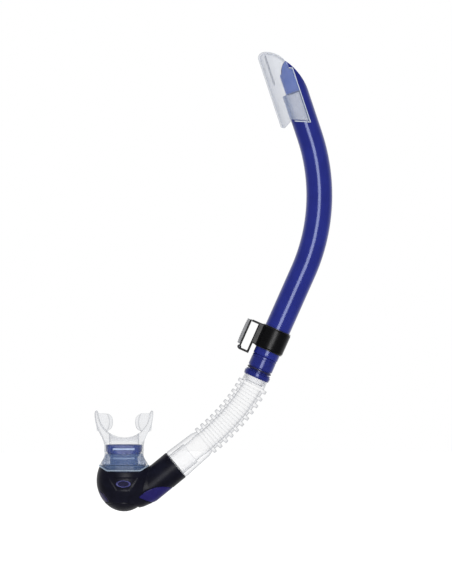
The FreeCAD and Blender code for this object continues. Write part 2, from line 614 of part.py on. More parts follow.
def build_purge():
    seat_low = "-purge_seat_level"
    seat = new_body("purge_seat", bulb_frame * Placement(Vector(value("purge_shift"), 0, 0), Rotation()))
    revolve(seat, "seat_rim_turn", rectangle("seat_hole - seat_rim", seat_low, "seat_hole",
                                             f"{seat_low} + floor_thick"))
    revolve(seat, "seat_hub_turn", rectangle("stem_hole", seat_low, "hub_radius",
                                             f"{seat_low} + floor_thick"))
    spoke = new_sketch(seat, "spoke_outline", "XY_Plane")
    bind(spoke, AttachmentOffset__Base__z=seat_low)
    draw_outline(spoke, rectangle("hub_radius - 0.4", "-spoke_width / 2", "seat_hole - seat_rim / 2",
                                  "spoke_width / 2"))
    bar = seat.newObject("PartDesign::Pad", "spoke_pad")
    bar.Profile = spoke
    bind(bar, Length="floor_thick")
    doc.recompute()
    ring = seat.newObject("PartDesign::PolarPattern", "spokes")
    ring.Originals = [bar]
    ring.Axis = (spoke, ["N_Axis"])
    ring.Angle = 360
    ring.Occurrences = PURGE_SPOKES
    seat.Tip = ring
    keep(seat, "purge_seat")

    top = f"{seat_low} - disc_gap"
    seat_top = f"{seat_low} + floor_thick"
    keep(turned_body("purge_diaphragm", seat.Placement, [
        ("0", f"{top} - disc_thick - boss_drop"), ("boss_inner", f"{top} - disc_thick - boss_drop"),
        ("boss_outer", f"{top} - disc_thick"),
        ("disc_radius", f"{top} - disc_thick"), ("disc_radius", top), ("stem_radius", top),
        ("stem_radius", f"{seat_top} + stem_neck_up"), ("stem_bulb", f"{seat_top} + stem_bulb_up"),
        ("stem_radius", f"{seat_top} + stem_tip_up"), ("0", f"{seat_top} + stem_end_up"),
    ]), "purge_diaphragm")

    plug = upright_cylinder("cover_plug", "cover_radius", "-beyond", "-cover_top")
    outside = primitive("Part::Ellipsoid", "cover_outside", bulb_frame, Radius1="bulb_height",
                        Radius2="bulb_across", Radius3="bulb_depth")
    dome = common("cover_dome", outside, plug)
    room = common("cover_room", primitive(
        "Part::Ellipsoid", "cover_inside", bulb_frame, Radius1="bulb_height - shell",
        Radius2="bulb_across - shell", Radius3="bulb_depth - shell"),
        upright_cylinder("cover_bore", "cover_radius - cover_wall", "-beyond", "-cover_top + overshoot"))
    # The vents run from side to side of the bulb, and the outer ones are shorter.
    vents = []
    for index in range(PURGE_VENTS):
        place = index - PURGE_VENTS // 2
        length = f"vent_length - vent_taper * {abs(place)}"
        corner = Vector(value(f"purge_shift - ({length}) / 2"),
                        value(f"vent_pitch * {place} - vent_width / 2"),
                        -value("beyond + cover_top + vent_rise"))
        vents.append(primitive("Part::Box", f"vent_{index + 1}", bulb_frame * Placement(corner, Rotation()),
                               Length=length, Width="vent_width", Height="beyond"))
    keep(cut("purge_cover", dome, [room] + vents), "purge_cover")


# ---------------------------------------------------------------- mouthpiece
def build_mouthpiece():
    body = new_body("mouthpiece_form", bulb_frame)
    levels = [("saddle_low - 2", "boot_across", "boot_depth"), ("saddle_high", "boot_across", "boot_depth"),
              ("waist_level", "neck_half", "neck_depth"), ("arm_level", "neck_half", "neck_depth")]
    sections = []
    for index, (level, across, depth) in enumerate(levels):
        sketch = new_sketch(body, f"boot_section_{index + 1}", "XY_Plane")
        bind(sketch, AttachmentOffset__Base__z=level)
        draw_outline(sketch, round_ended(across, depth))
        sections.append(sketch)
    loft = body.newObject("PartDesign::AdditiveLoft", "boot_loft")
    loft.Profile = sections[0]
    loft.Sections = sections[1:]
    loft.Ruled = True

    arc_low = "flange_level - flange_inner"
    pad(body, "flange", "2 * flange_half", [
        ("-neck_half", "arm_level - 1"), ("neck_half", "arm_level - 1"), ("arm_bend_across", "arm_bend_up"),
        ("arm_arc_across", "arm_arc_up", "arc"), ("flange_outer", "flange_level - 1"),
        ("flange_outer - 0.5", "flange_tip"),
        ("flange_inner + 0.5", "flange_tip"), ("flange_inner", "flange_level"), ("0", arc_low, "arc"),
        ("-flange_inner", "flange_level"), ("-flange_inner - 0.5", "flange_tip"),
        ("-flange_outer + 0.5", "flange_tip"), ("-flange_outer", "flange_level - 1"),
        ("-arm_arc_across", "arm_arc_up", "arc"), ("-arm_bend_across", "arm_bend_up"),
    ])
    for side, sign in (("left", "-"), ("right", "")):
        def across(text):
            return f"{sign}({text})"
        pad(body, f"{side}_lug", "lug_thick", rectangle(across("lug_inner"), "lug_low",
                                                       across("flange_inner + 0.4"), "lug_high"))
        pad(body, f"{side}_lip", "2 * lip_half", rectangle(across("lug_inner"), "lug_low",
                                                          across("lug_inner + lip_thick"), "lug_high"))
    port = column("mouth_port_room", "port_across", "port_depth", "0", "port_top + 0.2")
    breath = column("mouth_breath", "breath_across", "breath_depth", "0", "lug_low - overshoot")
    above = above_saddle("mouth_stand", "0", "beyond")
    formed = common("mouthpiece_stood", body, above)
    # The breath opening ends at the flange, so it is kept clear of the lugs by their inner edges.
    keep(cut("mouthpiece", formed, [port, breath]), "mouthpiece")


# ---------------------------------------------------------------- keeper
SLOT_NEAR = "-(slot_offset - slot_gap / 2)"
SLOT_FAR = "-(slot_offset + slot_gap / 2)"
SLOT_TOP = "slot_length / 2 - slot_drop"
SLOT_LOW = "-slot_length / 2 - slot_drop"
HINGE_X = f"{SLOT_FAR} - gate_thick / 2 - 0.1"
HINGE_Z = f"{SLOT_LOW} + 0.4"


def build_keeper():
    keep(turned_body("keeper_liner", tube_frame, [
        ("liner_bore", "-liner_half"), ("liner_lip", "-liner_half"), ("liner_lip", "-liner_half + lip_width"),
        ("liner_radius", "-liner_half + lip_width"), ("liner_radius", "liner_half - lip_width"),
        ("liner_lip", "liner_half - lip_width"), ("liner_lip", "liner_half"), ("liner_bore", "liner_half"),
    ]), "keeper_liner")

    clip = new_body("keeper_clip", tube_frame)
    pad(clip, "clip_arm", "arm_depth", [
        ("-arm_root", "-clip_half"), (f"{SLOT_NEAR} + clip_wall", "-clip_half"),
        (f"{SLOT_NEAR} + clip_wall", f"{SLOT_LOW} - clip_wall"), (HINGE_X, f"{SLOT_LOW} - clip_wall"),
        (HINGE_X, SLOT_LOW), (SLOT_NEAR, SLOT_LOW), (SLOT_NEAR, SLOT_TOP),
        (f"{SLOT_FAR} + gate_gap", SLOT_TOP), (f"{SLOT_FAR} + gate_gap", f"{SLOT_TOP} + clip_wall"),
        ("-arm_shoulder", "clip_half"), ("-arm_root", "clip_half"),
    ])
    pad(clip, "clip_knuckles", "arm_depth", circles=[("knuckle_radius", HINGE_X, HINGE_Z)])
    revolve(clip, "clip_ring", [
        ("clip_bore", "-clip_half"), ("clip_radius - 0.8", "-clip_half"), ("clip_radius", "-clip_half + 1.2"),
        ("clip_radius", "clip_half - 1.2"), ("clip_radius - 0.8", "clip_half"), ("clip_bore", "clip_half"),
    ])
    hollow = new_sketch(clip, "clip_bore_outline", "XY_Plane")
    draw_circle(hollow, "clip_bore")
    bore = clip.newObject("PartDesign::Pocket", "clip_bore_cut")
    bore.Profile = hollow
    bore.Midplane = True
    bore.Type = "ThroughAll"
    pocket(clip, "knuckle_room", rectangle(f"{HINGE_X} - 3", f"{SLOT_LOW} - clip_wall - 2",
                                           f"{HINGE_X} + 2.4", f"{SLOT_LOW} + 3"),
           depth="knuckle_width + 2 * gate_gap")
    pocket(clip, "clip_pin_hole", circles=[("pin_radius", HINGE_X, HINGE_Z)])
    keep(clip, "keeper_clip")

    gate = new_body("strap_gate", tube_frame)
    outer = f"{SLOT_FAR} - gate_thick"
    pad(gate, "gate_wall", "arm_depth",
        rectangle(outer, "-pad_low + 0.2", SLOT_FAR, f"{SLOT_TOP} + clip_wall"))
    pad(gate, "gate_neck", "knuckle_width", rectangle(outer, HINGE_Z, SLOT_FAR, "-pad_low + 1"))
    pad(gate, "gate_barrel", "knuckle_width", circles=[("gate_knuckle", HINGE_X, HINGE_Z)])
    pocket(gate, "gate_pin_hole", circles=[("pin_radius + pin_clearance", HINGE_X, HINGE_Z)])
    keep(gate, "strap_gate")

    pin = new_body("gate_pin", tube_frame)
    pad(pin, "gate_pin_pad", "pin_length", circles=[("pin_radius", HINGE_X, HINGE_Z)])
    keep(pin, "gate_pin")

    thumb = new_body("gate_pad", tube_frame)
    pad(thumb, "thumb_block", "arm_depth + 1", rectangle(f"{outer} - pad_thick", "-pad_low", outer,
                                                        f"{SLOT_TOP} + clip_wall - 0.4"))
    for index in range(PAD_RIBS):
        level = f"-pad_low + 1.2 + pad_pitch * {index}"
        pocket(thumb, f"thumb_groove_{index + 1}", rectangle(
            f"{outer} - pad_thick - 1", level, f"{outer} - pad_thick + 0.8", f"{level} + pad_rib"))
    keep(thumb, "gate_pad")


build_main_tube()
build_guard_baffle()
build_splash_cap()
build_swivel()
build_hose()
build_chamber()
build_purge()
build_mouthpiece()
build_keeper()
doc.recompute()

failed = [item.Name for item in doc.Objects if {"Invalid", "Error"} & set(item.State)]
if failed:
    raise RuntimeError(f"objects that failed: {failed}")
os.makedirs("parts", exist_ok=True)
for node in nodes:
    if node.Shape.isNull() or not node.Shape.isValid():
        raise RuntimeError(f"{node.Label} has no valid shape")
    node.Shape.exportStep(f"parts/{node.Label}.step")
    print(f"{node.Label:18s} {len(node.Shape.Solids)} solid(s) {node.Shape.Volume:10.1f} mm3")
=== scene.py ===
import math

import bmesh
import bpy
import numpy as np
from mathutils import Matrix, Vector


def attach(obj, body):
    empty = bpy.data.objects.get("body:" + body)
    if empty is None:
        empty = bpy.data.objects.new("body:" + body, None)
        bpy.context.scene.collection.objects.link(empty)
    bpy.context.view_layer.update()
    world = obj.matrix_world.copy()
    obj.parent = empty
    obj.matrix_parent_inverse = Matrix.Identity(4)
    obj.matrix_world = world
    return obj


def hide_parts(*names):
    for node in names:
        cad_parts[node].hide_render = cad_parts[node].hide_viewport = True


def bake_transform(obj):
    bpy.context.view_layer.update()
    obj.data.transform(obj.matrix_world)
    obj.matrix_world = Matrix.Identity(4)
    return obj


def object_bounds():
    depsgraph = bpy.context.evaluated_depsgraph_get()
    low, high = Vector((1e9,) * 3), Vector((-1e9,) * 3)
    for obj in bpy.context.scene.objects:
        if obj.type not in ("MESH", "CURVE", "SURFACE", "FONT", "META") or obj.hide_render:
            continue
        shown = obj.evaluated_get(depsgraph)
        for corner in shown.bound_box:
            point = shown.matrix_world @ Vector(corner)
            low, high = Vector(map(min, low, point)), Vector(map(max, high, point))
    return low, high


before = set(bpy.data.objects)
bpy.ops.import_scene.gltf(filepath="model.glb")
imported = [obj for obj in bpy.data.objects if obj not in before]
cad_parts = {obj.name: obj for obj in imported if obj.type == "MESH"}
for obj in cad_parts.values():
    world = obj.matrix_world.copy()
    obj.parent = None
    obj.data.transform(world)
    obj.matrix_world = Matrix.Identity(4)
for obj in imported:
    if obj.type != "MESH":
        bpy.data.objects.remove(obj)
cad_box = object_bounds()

MM = 0.001
AROUND = 112
SCENE = bpy.context.scene

# ---- places, in millimetres
# A place is a frame in the XZ plane: local z leans from the vertical towards +X.


class Place:
    def __init__(self, x, z, lean=0.0):
        self.x, self.z, self.lean = x, z, math.radians(lean)
        self.c, self.s = math.cos(self.lean), math.sin(self.lean)

    def at(self, p, q):
        """World x and z of a point p along the local x and q along the local z."""
        return self.x + p * self.c + q * self.s, self.z - p * self.s + q * self.c

    def moved(self, p, q, lean=None):
        x, z = self.at(p, q)
        return Place(x, z, math.degrees(self.lean) if lean is None else lean)

    def world(self, points):
        points = np.asarray(points, float)
        x = self.x + points[:, 0] * self.c + points[:, 2] * self.s
        z = self.z - points[:, 0] * self.s + points[:, 2] * self.c
        return np.stack([x, points[:, 1], z], 1) * MM

    def spot(self, p, q):
        x, z = self.at(p, q)
        return Vector((x * MM, 0.0, z * MM))


LOWER_LEAN, UPPER_LEAN = 24.0, 18.4
SLOT_OFFSET, SLOT_DROP = 22.25, 5.3
STRAIGHT, BEND_RADIUS, UPPER_RUN = 71.8, 181.0, 75.5
TUBE = Place(0, 0, LOWER_LEAN).moved(SLOT_OFFSET, SLOT_DROP)
TURN = math.radians(LOWER_LEAN + UPPER_LEAN)
TOP = TUBE.moved(-BEND_RADIUS * (1 - math.cos(TURN)), STRAIGHT + BEND_RADIUS * math.sin(TURN), -UPPER_LEAN)

LINKS, PITCH, FIRST_RIB = 9, 6.9, 48.4
HOSE_START, HOSE_FINISH, BEND_EASE = 28.0, 50.6, 0.8


def rib_lean(index):
    return HOSE_START + (HOSE_FINISH - HOSE_START) * (index / (LINKS + 1)) ** BEND_EASE


RIBS = [TUBE.moved(0, -FIRST_RIB, rib_lean(0))]
for index in range(1, LINKS + 2):
    RIBS.append(RIBS[-1].moved(0, -PITCH / 2, rib_lean(index)).moved(0, -PITCH / 2))
CUFF_LENGTH, NECK_ACROSS, NECK_UP = 37.1, 50.0, 15.0
NECK = RIBS[-1].moved(0, -CUFF_LENGTH, HOSE_FINISH)
BULB = Place(NECK.x - NECK_ACROSS, NECK.z - NECK_UP)


# ---- meshes
def shade(mesh, smooth):
    """Smooth shading, except across edges sharper than an angle in degrees."""
    mesh.polygons.foreach_set("use_smooth", [True] * len(mesh.polygons))
    mesh.set_sharp_from_angle(angle=math.radians(smooth))


def add_piece(name, points, faces, body, slot, replaces=None, smooth=38.0, look=None, closed=True):
    """A mesh object from world points in metres. Its look is its slot's own, unless another is named."""
    mesh = bpy.data.meshes.new(name)
    mesh.from_pydata(np.asarray(points, float).tolist(), [], [list(map(int, face)) for face in faces])
    mesh.validate()
    if closed:
        work = bmesh.new()
        work.from_mesh(mesh)
        bmesh.ops.recalc_face_normals(work, faces=work.faces)
        work.to_mesh(mesh)
        work.free()
    shade(mesh, smooth)
    thing = bpy.data.objects.new(name, mesh)
    SCENE.collection.objects.link(thing)
    mesh.materials.append(LOOKS[look or slot])
    if body:
        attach(thing, body)
    if replaces:
        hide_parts(replaces)
    return thing


def rounded(corners, radius=0.5, steps=4, closed=True):
    """An outline with its corners rounded. A corner is (x, y) or (x, y, its own radius)."""
    points = [np.array(corner[:2], float) for corner in corners]
    sizes = [corner[2] if len(corner) > 2 else radius for corner in corners]
    count = len(points)
    out = []
    for index in range(count):
        here = points[index]
        if not closed and index in (0, count - 1):
            out.append(here)
            continue
        before, after = points[index - 1], points[(index + 1) % count]
        u, v = before - here, after - here
        lu, lv = np.linalg.norm(u), np.linalg.norm(v)
        u, v = u / lu, v / lv
        angle = math.acos(max(-1.0, min(1.0, float(u @ v))))
        if sizes[index] <= 0 or angle > math.radians(172):
            out.append(here)
            continue
        reach = min(sizes[index] / math.tan(angle / 2), 0.46 * lu, 0.46 * lv)
        bend = reach * math.tan(angle / 2)
        middle = here + (u + v) / np.linalg.norm(u + v) * bend / math.sin(angle / 2)
        start, end = here + u * reach, here + v * reach
        a0 = math.atan2(*(start - middle)[::-1])
        a1 = math.atan2(*(end - middle)[::-1])
        turn = (a1 - a0 + math.pi) % (2 * math.pi) - math.pi
        if lu > 1.5 * reach + 0.4:
            out.append(start + u * 0.12)
        for step in range(steps + 1):
            a = a0 + turn * step / steps
            out.append(middle + bend * np.array([math.cos(a), math.sin(a)]))
        if lv > 1.5 * reach + 0.4:
            out.append(end + v * 0.12)
    return out


def lathe(profile, place, turns=AROUND, closed=True):
    """Points and faces of a profile (radius, height) turned about a place's z axis."""
    profile = np.array(profile, float)
    count = len(profile)
    angles = np.linspace(0, 2 * math.pi, turns, endpoint=False)
    ring = np.zeros((turns, count, 3))
    ring[:, :, 0] = np.cos(angles)[:, None] * profile[:, 0]
    ring[:, :, 1] = np.sin(angles)[:, None] * profile[:, 0]
    ring[:, :, 2] = profile[:, 1]
    faces = []
    for turn in range(turns):
        there = (turn + 1) % turns
        for step in range(count if closed else count - 1):
            after = (step + 1) % count
            faces.append((turn * count + step, there * count + step, there * count + after,
                          turn * count + after))
    return place.world(ring.reshape(-1, 3)), faces


def ring_of(place, radius):
    """Points of a circle about a place's z axis."""
    angles = np.linspace(0, 2 * math.pi, AROUND, endpoint=False)
    return place.world(np.stack([radius * np.cos(angles), radius * np.sin(angles), 0 * angles], 1))


def rings_to_faces(stations, closed):
    """Quads between rings of AROUND points each, one ring after the other."""
    faces = []
    for station in range(stations if closed else stations - 1):
        here, after = station * AROUND, (station + 1) % stations * AROUND
        for turn in range(AROUND):
            there = (turn + 1) % AROUND
            faces.append((here + turn, here + there, after + there, after + turn))
    return faces


def arc(start, middle, end):
    """Points of the arc from start to end through a middle point, without its start."""
    steps = 14
    (ax, ay), (bx, by), (cx, cy) = start, middle, end
    d = 2 * (ax * (by - cy) + bx * (cy - ay) + cx * (ay - by))
    a, b, c = ax * ax + ay * ay, bx * bx + by * by, cx * cx + cy * cy
    ux = (a * (by - cy) + b * (cy - ay) + c * (ay - by)) / d
    uy = (a * (cx - bx) + b * (ax - cx) + c * (bx - ax)) / d
    radius = math.hypot(ax - ux, ay - uy)
    a0, a1, a2 = (math.atan2(y - uy, x - ux) for x, y in (start, middle, end))
    turn = (a2 - a0) % (2 * math.pi)
    if (a1 - a0) % (2 * math.pi) > turn:
        turn -= 2 * math.pi
    return [(ux + radius * math.cos(a0 + turn * step / steps),
             uy + radius * math.sin(a0 + turn * step / steps)) for step in range(1, steps + 1)]


def outline(corners):
    """An outline whose corners marked "arc" are points that an arc passes through."""
    out = []
    count = len(corners)
    index = 0
    while index < count:
        corner = corners[index]
        if len(corner) == 3:
            out += arc(out[-1], corner[:2], corners[(index + 1) % count][:2])
            if (index + 1) % count == 0:
                out.pop()
            index += 2
        else:
            out.append(corner)
            index += 1
    return out


# ---- shapes from distance fields
def smin(a, b, k):
    h = np.clip(0.5 + 0.5 * (b - a) / k, 0, 1)
    return b * (1 - h) + a * h - k * h * (1 - h)


def smax(a, b, k):
    return -smin(-a, -b, k)


def ease(share):
    """A share from 0 to 1 that starts and ends gently."""
    return share * share * (3 - 2 * share)


def polygon(x, y, corners):
    """Signed distance from points to a closed outline, negative inside."""
    shape = x.shape
    x, y = x.ravel(), y.ravel()
    best = np.full(x.shape, 1e18)
    inside = np.zeros(x.shape, bool)
    for (ax, ay), (bx, by) in zip(corners, corners[1:] + corners[:1]):
        ex, ey = bx - ax, by - ay
        wx, wy = x - ax, y - ay
        t = np.clip((wx * ex + wy * ey) / (ex * ex + ey * ey + 1e-12), 0, 1)
        best = np.minimum(best, (wx - ex * t) ** 2 + (wy - ey * t) ** 2)
        crossing = (ay > y) != (by > y)
        with np.errstate(divide="ignore", invalid="ignore"):
            inside ^= crossing & (x < ex * (y - ay) / ((by - ay) or 1e-12) + ax)
    return np.where(inside, -1, 1).reshape(shape) * np.sqrt(best).reshape(shape)


def box_field(x, y, z, low, high, round_off=0.0):
    centre = [(a + b) / 2 for a, b in zip(low, high)]
    half = [(b - a) / 2 - round_off for a, b in zip(low, high)]
    q = [np.abs(v - c) - h for v, c, h in zip((x, y, z), centre, half)]
    outside = np.sqrt(sum(np.maximum(v, 0) ** 2 for v in q))
    return outside + np.minimum(np.maximum(np.maximum(q[0], q[1]), q[2]), 0) - round_off


def stadium(x, y, half_across, half_depth):
    return np.hypot(np.maximum(np.abs(x) - (half_across - half_depth), 0), y) - half_depth


def ellipsoid(x, y, z, rx, ry, rz):
    near = np.sqrt((x / rx) ** 2 + (y / ry) ** 2 + (z / rz) ** 2)
    slope = np.sqrt((x / rx ** 2) ** 2 + (y / ry ** 2) ** 2 + (z / rz ** 2) ** 2)
    return near * (near - 1) / np.maximum(slope, 1e-9)


CORNERS = [(i, j, k) for i in (0, 1) for j in (0, 1) for k in (0, 1)]
EDGES = [(a, b) for a in CORNERS for b in CORNERS if sum(b) == sum(a) + 1 and all(p <= q for p,
                                                                                  q in zip(a, b))]


def sculpt(field, low, high, step):
    """Quads around the region where field(x, y, z) is negative, settled onto its surface."""
    axes = [np.arange(lo - 1.5 * step, hi + 2.5 * step, step) for lo, hi in zip(low, high)]
    values = field(*np.meshgrid(*axes, indexing="ij"))
    inside = values < 0
    shape = np.array(values.shape) - 1
    total = np.zeros(tuple(shape) + (3,))
    hits = np.zeros(tuple(shape))

    def corner(data, offset):
        return data[tuple(slice(o, o + n) for o, n in zip(offset, shape))]

    for a, b in EDGES:
        va, vb = corner(values, a), corner(values, b)
        cross = (va < 0) != (vb < 0)
        share = np.where(cross, va / np.where(cross, va - vb, 1), 0)
        for axis in range(3):
            total[..., axis] += np.where(cross, a[axis] + share * (b[axis] - a[axis]), 0)
        hits += cross
    active = hits > 0
    index = np.full(tuple(shape), -1)
    index[active] = np.arange(active.sum())
    cells = np.argwhere(active)
    points = (cells + total[active] / hits[active][:, None]) * step + np.array([axis[0] for axis in axes])
    quads = []
    for a in range(3):
        b, c = (a + 1) % 3, (a + 2) % 3
        first, second = [slice(1, -1)] * 3, [slice(1, -1)] * 3
        first[a], second[a] = slice(0, -1), slice(1, None)
        low_in, high_in = inside[tuple(first)], inside[tuple(second)]
        found = np.argwhere(low_in != high_in)
        outward = low_in[low_in != high_in]
        found[:, b] += 1
        found[:, c] += 1
        around = []
        for db, dc in ((0, 0), (1, 0), (1, 1), (0, 1)):
            cell = found.copy()
            cell[:, b] -= db
            cell[:, c] -= dc
            around.append(index[tuple(cell.T)])
        quad = np.stack(around, 1)
        quad[~outward] = quad[~outward][:, ::-1]
        quads.append(quad)
    small, flattest, longest = 0.04 * step, 0.3, 0.6 * step
    for _ in range(3):
        x, y, z = points.T
        here = field(x, y, z)
        slope = np.stack([field(x + small, y, z) - field(x - small, y, z),
                          field(x, y + small, z) - field(x, y - small, z),
                          field(x, y, z + small) - field(x, y, z - small)], 1) / (2 * small)
        length = np.maximum((slope ** 2).sum(1), flattest)
        points -= slope * (np.clip(here, -longest, longest) / length)[:, None]
    return points, np.concatenate(quads)


def carve(name, field, low, high, step, place, body, slot, replaces=None, smooth=60.0, look=None):
    """A piece sculpted from a distance field in a place's own frame."""
    points, faces = sculpt(field, low, high, step)
    return add_piece(name, place.world(points), faces, body, slot, replaces, smooth, look)


# ---- materials
def srgb(r, g, b):
    def linear(v):
        v = v / 255
        return v / 12.92 if v <= 0.04045 else ((v + 0.055) / 1.055) ** 2.4
    return linear(r), linear(g), linear(b), 1.0


MOTTLE_STOPS, UNEVEN_STOPS, UNEVEN_SCALE, GRAIN_DEPTH = (0.25, 0.75), (0.3, 0.7), 2.7, 0.0004


def map_range(tree, start, end, interpolation="LINEAR"):
    """A node that maps one range of values to another."""
    node = tree.nodes.new("ShaderNodeMapRange")
    node.interpolation_type = interpolation
    for socket, amount in zip(("From Min", "From Max", "To Min", "To Max"), (*start, *end)):
        node.inputs[socket].default_value = amount
    return node


def material(name, colour, second, rough, patch, grain, bump, clear=None, thicker=None, gloss=0.5,
             **constants):
    """Moulded plastic, rubber or silicone: mottled colour, uneven roughness and a fine surface grain.
    patch and grain are the scales of the mottling and the grain, and bump is the grain's strength.
    clear is (share seen from the front, share at the edges, how fast it grows): how solid it looks.
    thicker is (height, height, share): between two heights the front share grows to this one."""
    look = bpy.data.materials.new(name)
    look.use_nodes = True
    tree = look.node_tree
    make, link = tree.nodes.new, tree.links.new
    shader = tree.nodes["Principled BSDF"]
    output = tree.nodes["Material Output"]
    where = make("ShaderNodeTexCoord")

    def noise(size, detail, distortion=0.0):
        node = make("ShaderNodeTexNoise")
        node.inputs["Scale"].default_value = size
        node.inputs["Detail"].default_value = detail
        node.inputs["Distortion"].default_value = distortion
        link(where.outputs["Object"], node.inputs["Vector"])
        return node

    mottled = noise(patch, 4.0, 0.4)
    ramp = make("ShaderNodeValToRGB")
    for stop, position, tone in zip(ramp.color_ramp.elements, MOTTLE_STOPS, (colour, second)):
        stop.position, stop.color = position, tone
    link(mottled.outputs["Fac"], ramp.inputs["Fac"])
    link(ramp.outputs["Color"], shader.inputs["Base Color"])

    uneven = noise(patch * UNEVEN_SCALE, 5.0)
    span = map_range(tree, UNEVEN_STOPS, rough)
    link(uneven.outputs["Fac"], span.inputs["Value"])
    link(span.outputs["Result"], shader.inputs["Roughness"])

    fine = noise(grain, 3.0)
    relief = make("ShaderNodeBump")
    relief.inputs["Strength"].default_value = bump
    relief.inputs["Distance"].default_value = GRAIN_DEPTH
    link(fine.outputs["Fac"], relief.inputs["Height"])
    link(relief.outputs["Normal"], shader.inputs["Normal"])
    shader.inputs["Specular IOR Level"].default_value = gloss
    for socket, amount in constants.items():
        shader.inputs[socket.replace("_", " ")].default_value = amount

    if clear:
        front, edge, power = clear
        facing = make("ShaderNodeLayerWeight")
        facing.inputs["Blend"].default_value = 0.5
        grow = make("ShaderNodeMath")
        grow.operation = "POWER"
        grow.inputs[1].default_value = power
        link(facing.outputs["Facing"], grow.inputs[0])
        solid = map_range(tree, (0, 1), (front, edge))
        link(grow.outputs["Value"], solid.inputs["Value"])
        if thicker:
            split = make("ShaderNodeSeparateXYZ")
            link(where.outputs["Object"], split.inputs["Vector"])
            rise = map_range(tree, thicker[:2], (front, thicker[2]), "SMOOTHSTEP")
            link(split.outputs["Z"], rise.inputs["Value"])
            link(rise.outputs["Result"], solid.inputs["To Min"])
        through = make("ShaderNodeBsdfTransparent")
        mix = make("ShaderNodeMixShader")
        link(solid.outputs["Result"], mix.inputs["Fac"])
        link(through.outputs["BSDF"], mix.inputs[1])
        link(shader.outputs["BSDF"], mix.inputs[2])
        link(mix.outputs["Shader"], output.inputs["Surface"])
    return look


# Between these two heights the mouthpiece turns from clear to milky.
BLADE_LOW, BLADE_HIGH = (BULB.z + 36.0) * MM, (BULB.z + 41.0) * MM
LOOKS = {}


def look(name, colour, second, *surface, **more):
    """Adds a look whose two colours are given as sRGB bytes."""
    LOOKS[name] = material(name, srgb(*colour), srgb(*second), *surface, **more)


look("tube_blue", (29, 36, 112), (34, 42, 124), (0.15, 0.17), 60, 700, 0.003,
     Specular_Tint=(0.72, 0.8, 1.0, 1.0), IOR=1.5)
look("baffle_blue", (44, 80, 170), (58, 94, 184), (0.3, 0.42), 120, 900, 0.03, gloss=0.08)
look("cap_clear", (146, 156, 178), (160, 169, 189), (0.22, 0.36), 70, 1100, 0.03, clear=(0.14, 0.52, 2.2),
     gloss=0.35)
look("vane_clear", (128, 136, 148), (146, 152, 162), (0.2, 0.34), 120, 1100, 0.03, clear=(0.14, 0.85, 1.6))
look("fitting_blue", (24, 29, 98), (33, 41, 116), (0.13, 0.21), 160, 900, 0.01,
     Specular_Tint=(0.7, 0.76, 1.0, 1.0))
look("seal_rubber", (22, 20, 52), (30, 28, 66), (0.3, 0.45), 220, 1500, 0.12)
look("clip_grey", (136, 140, 150), (156, 160, 168), (0.3, 0.45), 260, 1500, 0.06, clear=(0.16, 0.6, 1.8))
look("snap_plastic", (196, 199, 208), (214, 216, 224), (0.2, 0.35), 150, 1200, 0.04, clear=(0.05, 0.45, 2.6))
look("liner_plastic", (20, 21, 27), (30, 32, 38), (0.2, 0.34), 200, 1300, 0.05)
look("keeper_black", (5, 5, 7), (10, 10, 13), (0.26, 0.34), 130, 1000, 0.03, gloss=0.2)
look("pad_grey", (118, 119, 122), (138, 139, 142), (0.5, 0.7), 240, 1500, 0.18, gloss=0.3)
# edge_highlight_white is a painted highlight: a near-white, almost solid look for the beads on the hood's
# edges.
look("edge_highlight_white", (206, 214, 226), (222, 228, 238), (0.2, 0.34), 120, 1000, 0.03, clear=(0.7, 1.0, 1.2))
look("rim_pale", (150, 168, 188), (168, 184, 202), (0.24, 0.36), 120, 1000, 0.03, clear=(0.7, 1.0, 1.2))
look("sleeve_tint", (84, 112, 168), (102, 128, 182), (0.2, 0.32), 90, 900, 0.02, clear=(0.15, 0.85, 1.5),
     gloss=0.3)
look("port_haze", (88, 118, 166), (102, 132, 178), (0.24, 0.36), 110, 1000, 0.02, clear=(0.42, 0.7, 2.0),
     gloss=0.3)
look("pin_dark", (38, 40, 44), (58, 60, 64), (0.3, 0.45), 400, 2600, 0.06, Metallic=0.7)
look("hose_silicone", (116, 121, 133), (136, 140, 151), (0.16, 0.3), 80, 1100, 0.03, clear=(0.022, 0.8, 2.7))
look("spigot_clear", (190, 193, 200), (206, 208, 214), (0.16, 0.3), 120, 1000, 0.04, clear=(0.03, 0.36, 2.8))
look("chamber_blue", (18, 44, 120), (30, 58, 138), (0.2, 0.32), 120, 900, 0.02, gloss=0.25)
look("foot_blue", (56, 78, 116), (70, 92, 128), (0.24, 0.36), 120, 900, 0.02, gloss=0.2)
look("bar_pale", (134, 156, 198), (152, 172, 210), (0.14, 0.26), 160, 900, 0.04)
look("boot_black", (11, 11, 22), (18, 19, 33), (0.3, 0.4), 110, 1400, 0.08, gloss=0.13)
look("window_indigo", (27, 22, 80), (33, 29, 91), (0.3, 0.42), 140, 1300, 0.06, gloss=0.1)
# lit_patch_indigo is painted light: the colour of the boot's blue bottom where it is lit, on its front left
# only.
look("lit_patch_indigo", (28, 22, 56), (36, 30, 70), (0.3, 0.42), 140, 1300, 0.06, gloss=0.3)
look("badge_blue", (42, 42, 96), (52, 52, 110), (0.24, 0.36), 260, 1300, 0.05, gloss=0.35)
look("badge_dark", (11, 9, 40), (17, 14, 52), (0.26, 0.38), 260, 1300, 0.05, gloss=0.06)
look("purge_plastic", (36, 40, 84), (48, 52, 98), (0.2, 0.32), 150, 1000, 0.04)
look("cover_dark", (11, 11, 20), (18, 18, 31), (0.3, 0.42), 130, 1300, 0.08, gloss=0.16)
look("mouth_silicone", (142, 148, 160), (160, 165, 176), (0.22, 0.38), 90, 1200, 0.04,
     clear=(0.065, 0.66, 2.2), thicker=(BLADE_LOW, BLADE_HIGH, 0.145), gloss=0.35)
look("diaphragm_silicone", (206, 208, 214), (224, 226, 230), (0.25, 0.4), 140, 1200, 0.05,
     clear=(0.5, 0.95, 1.2))


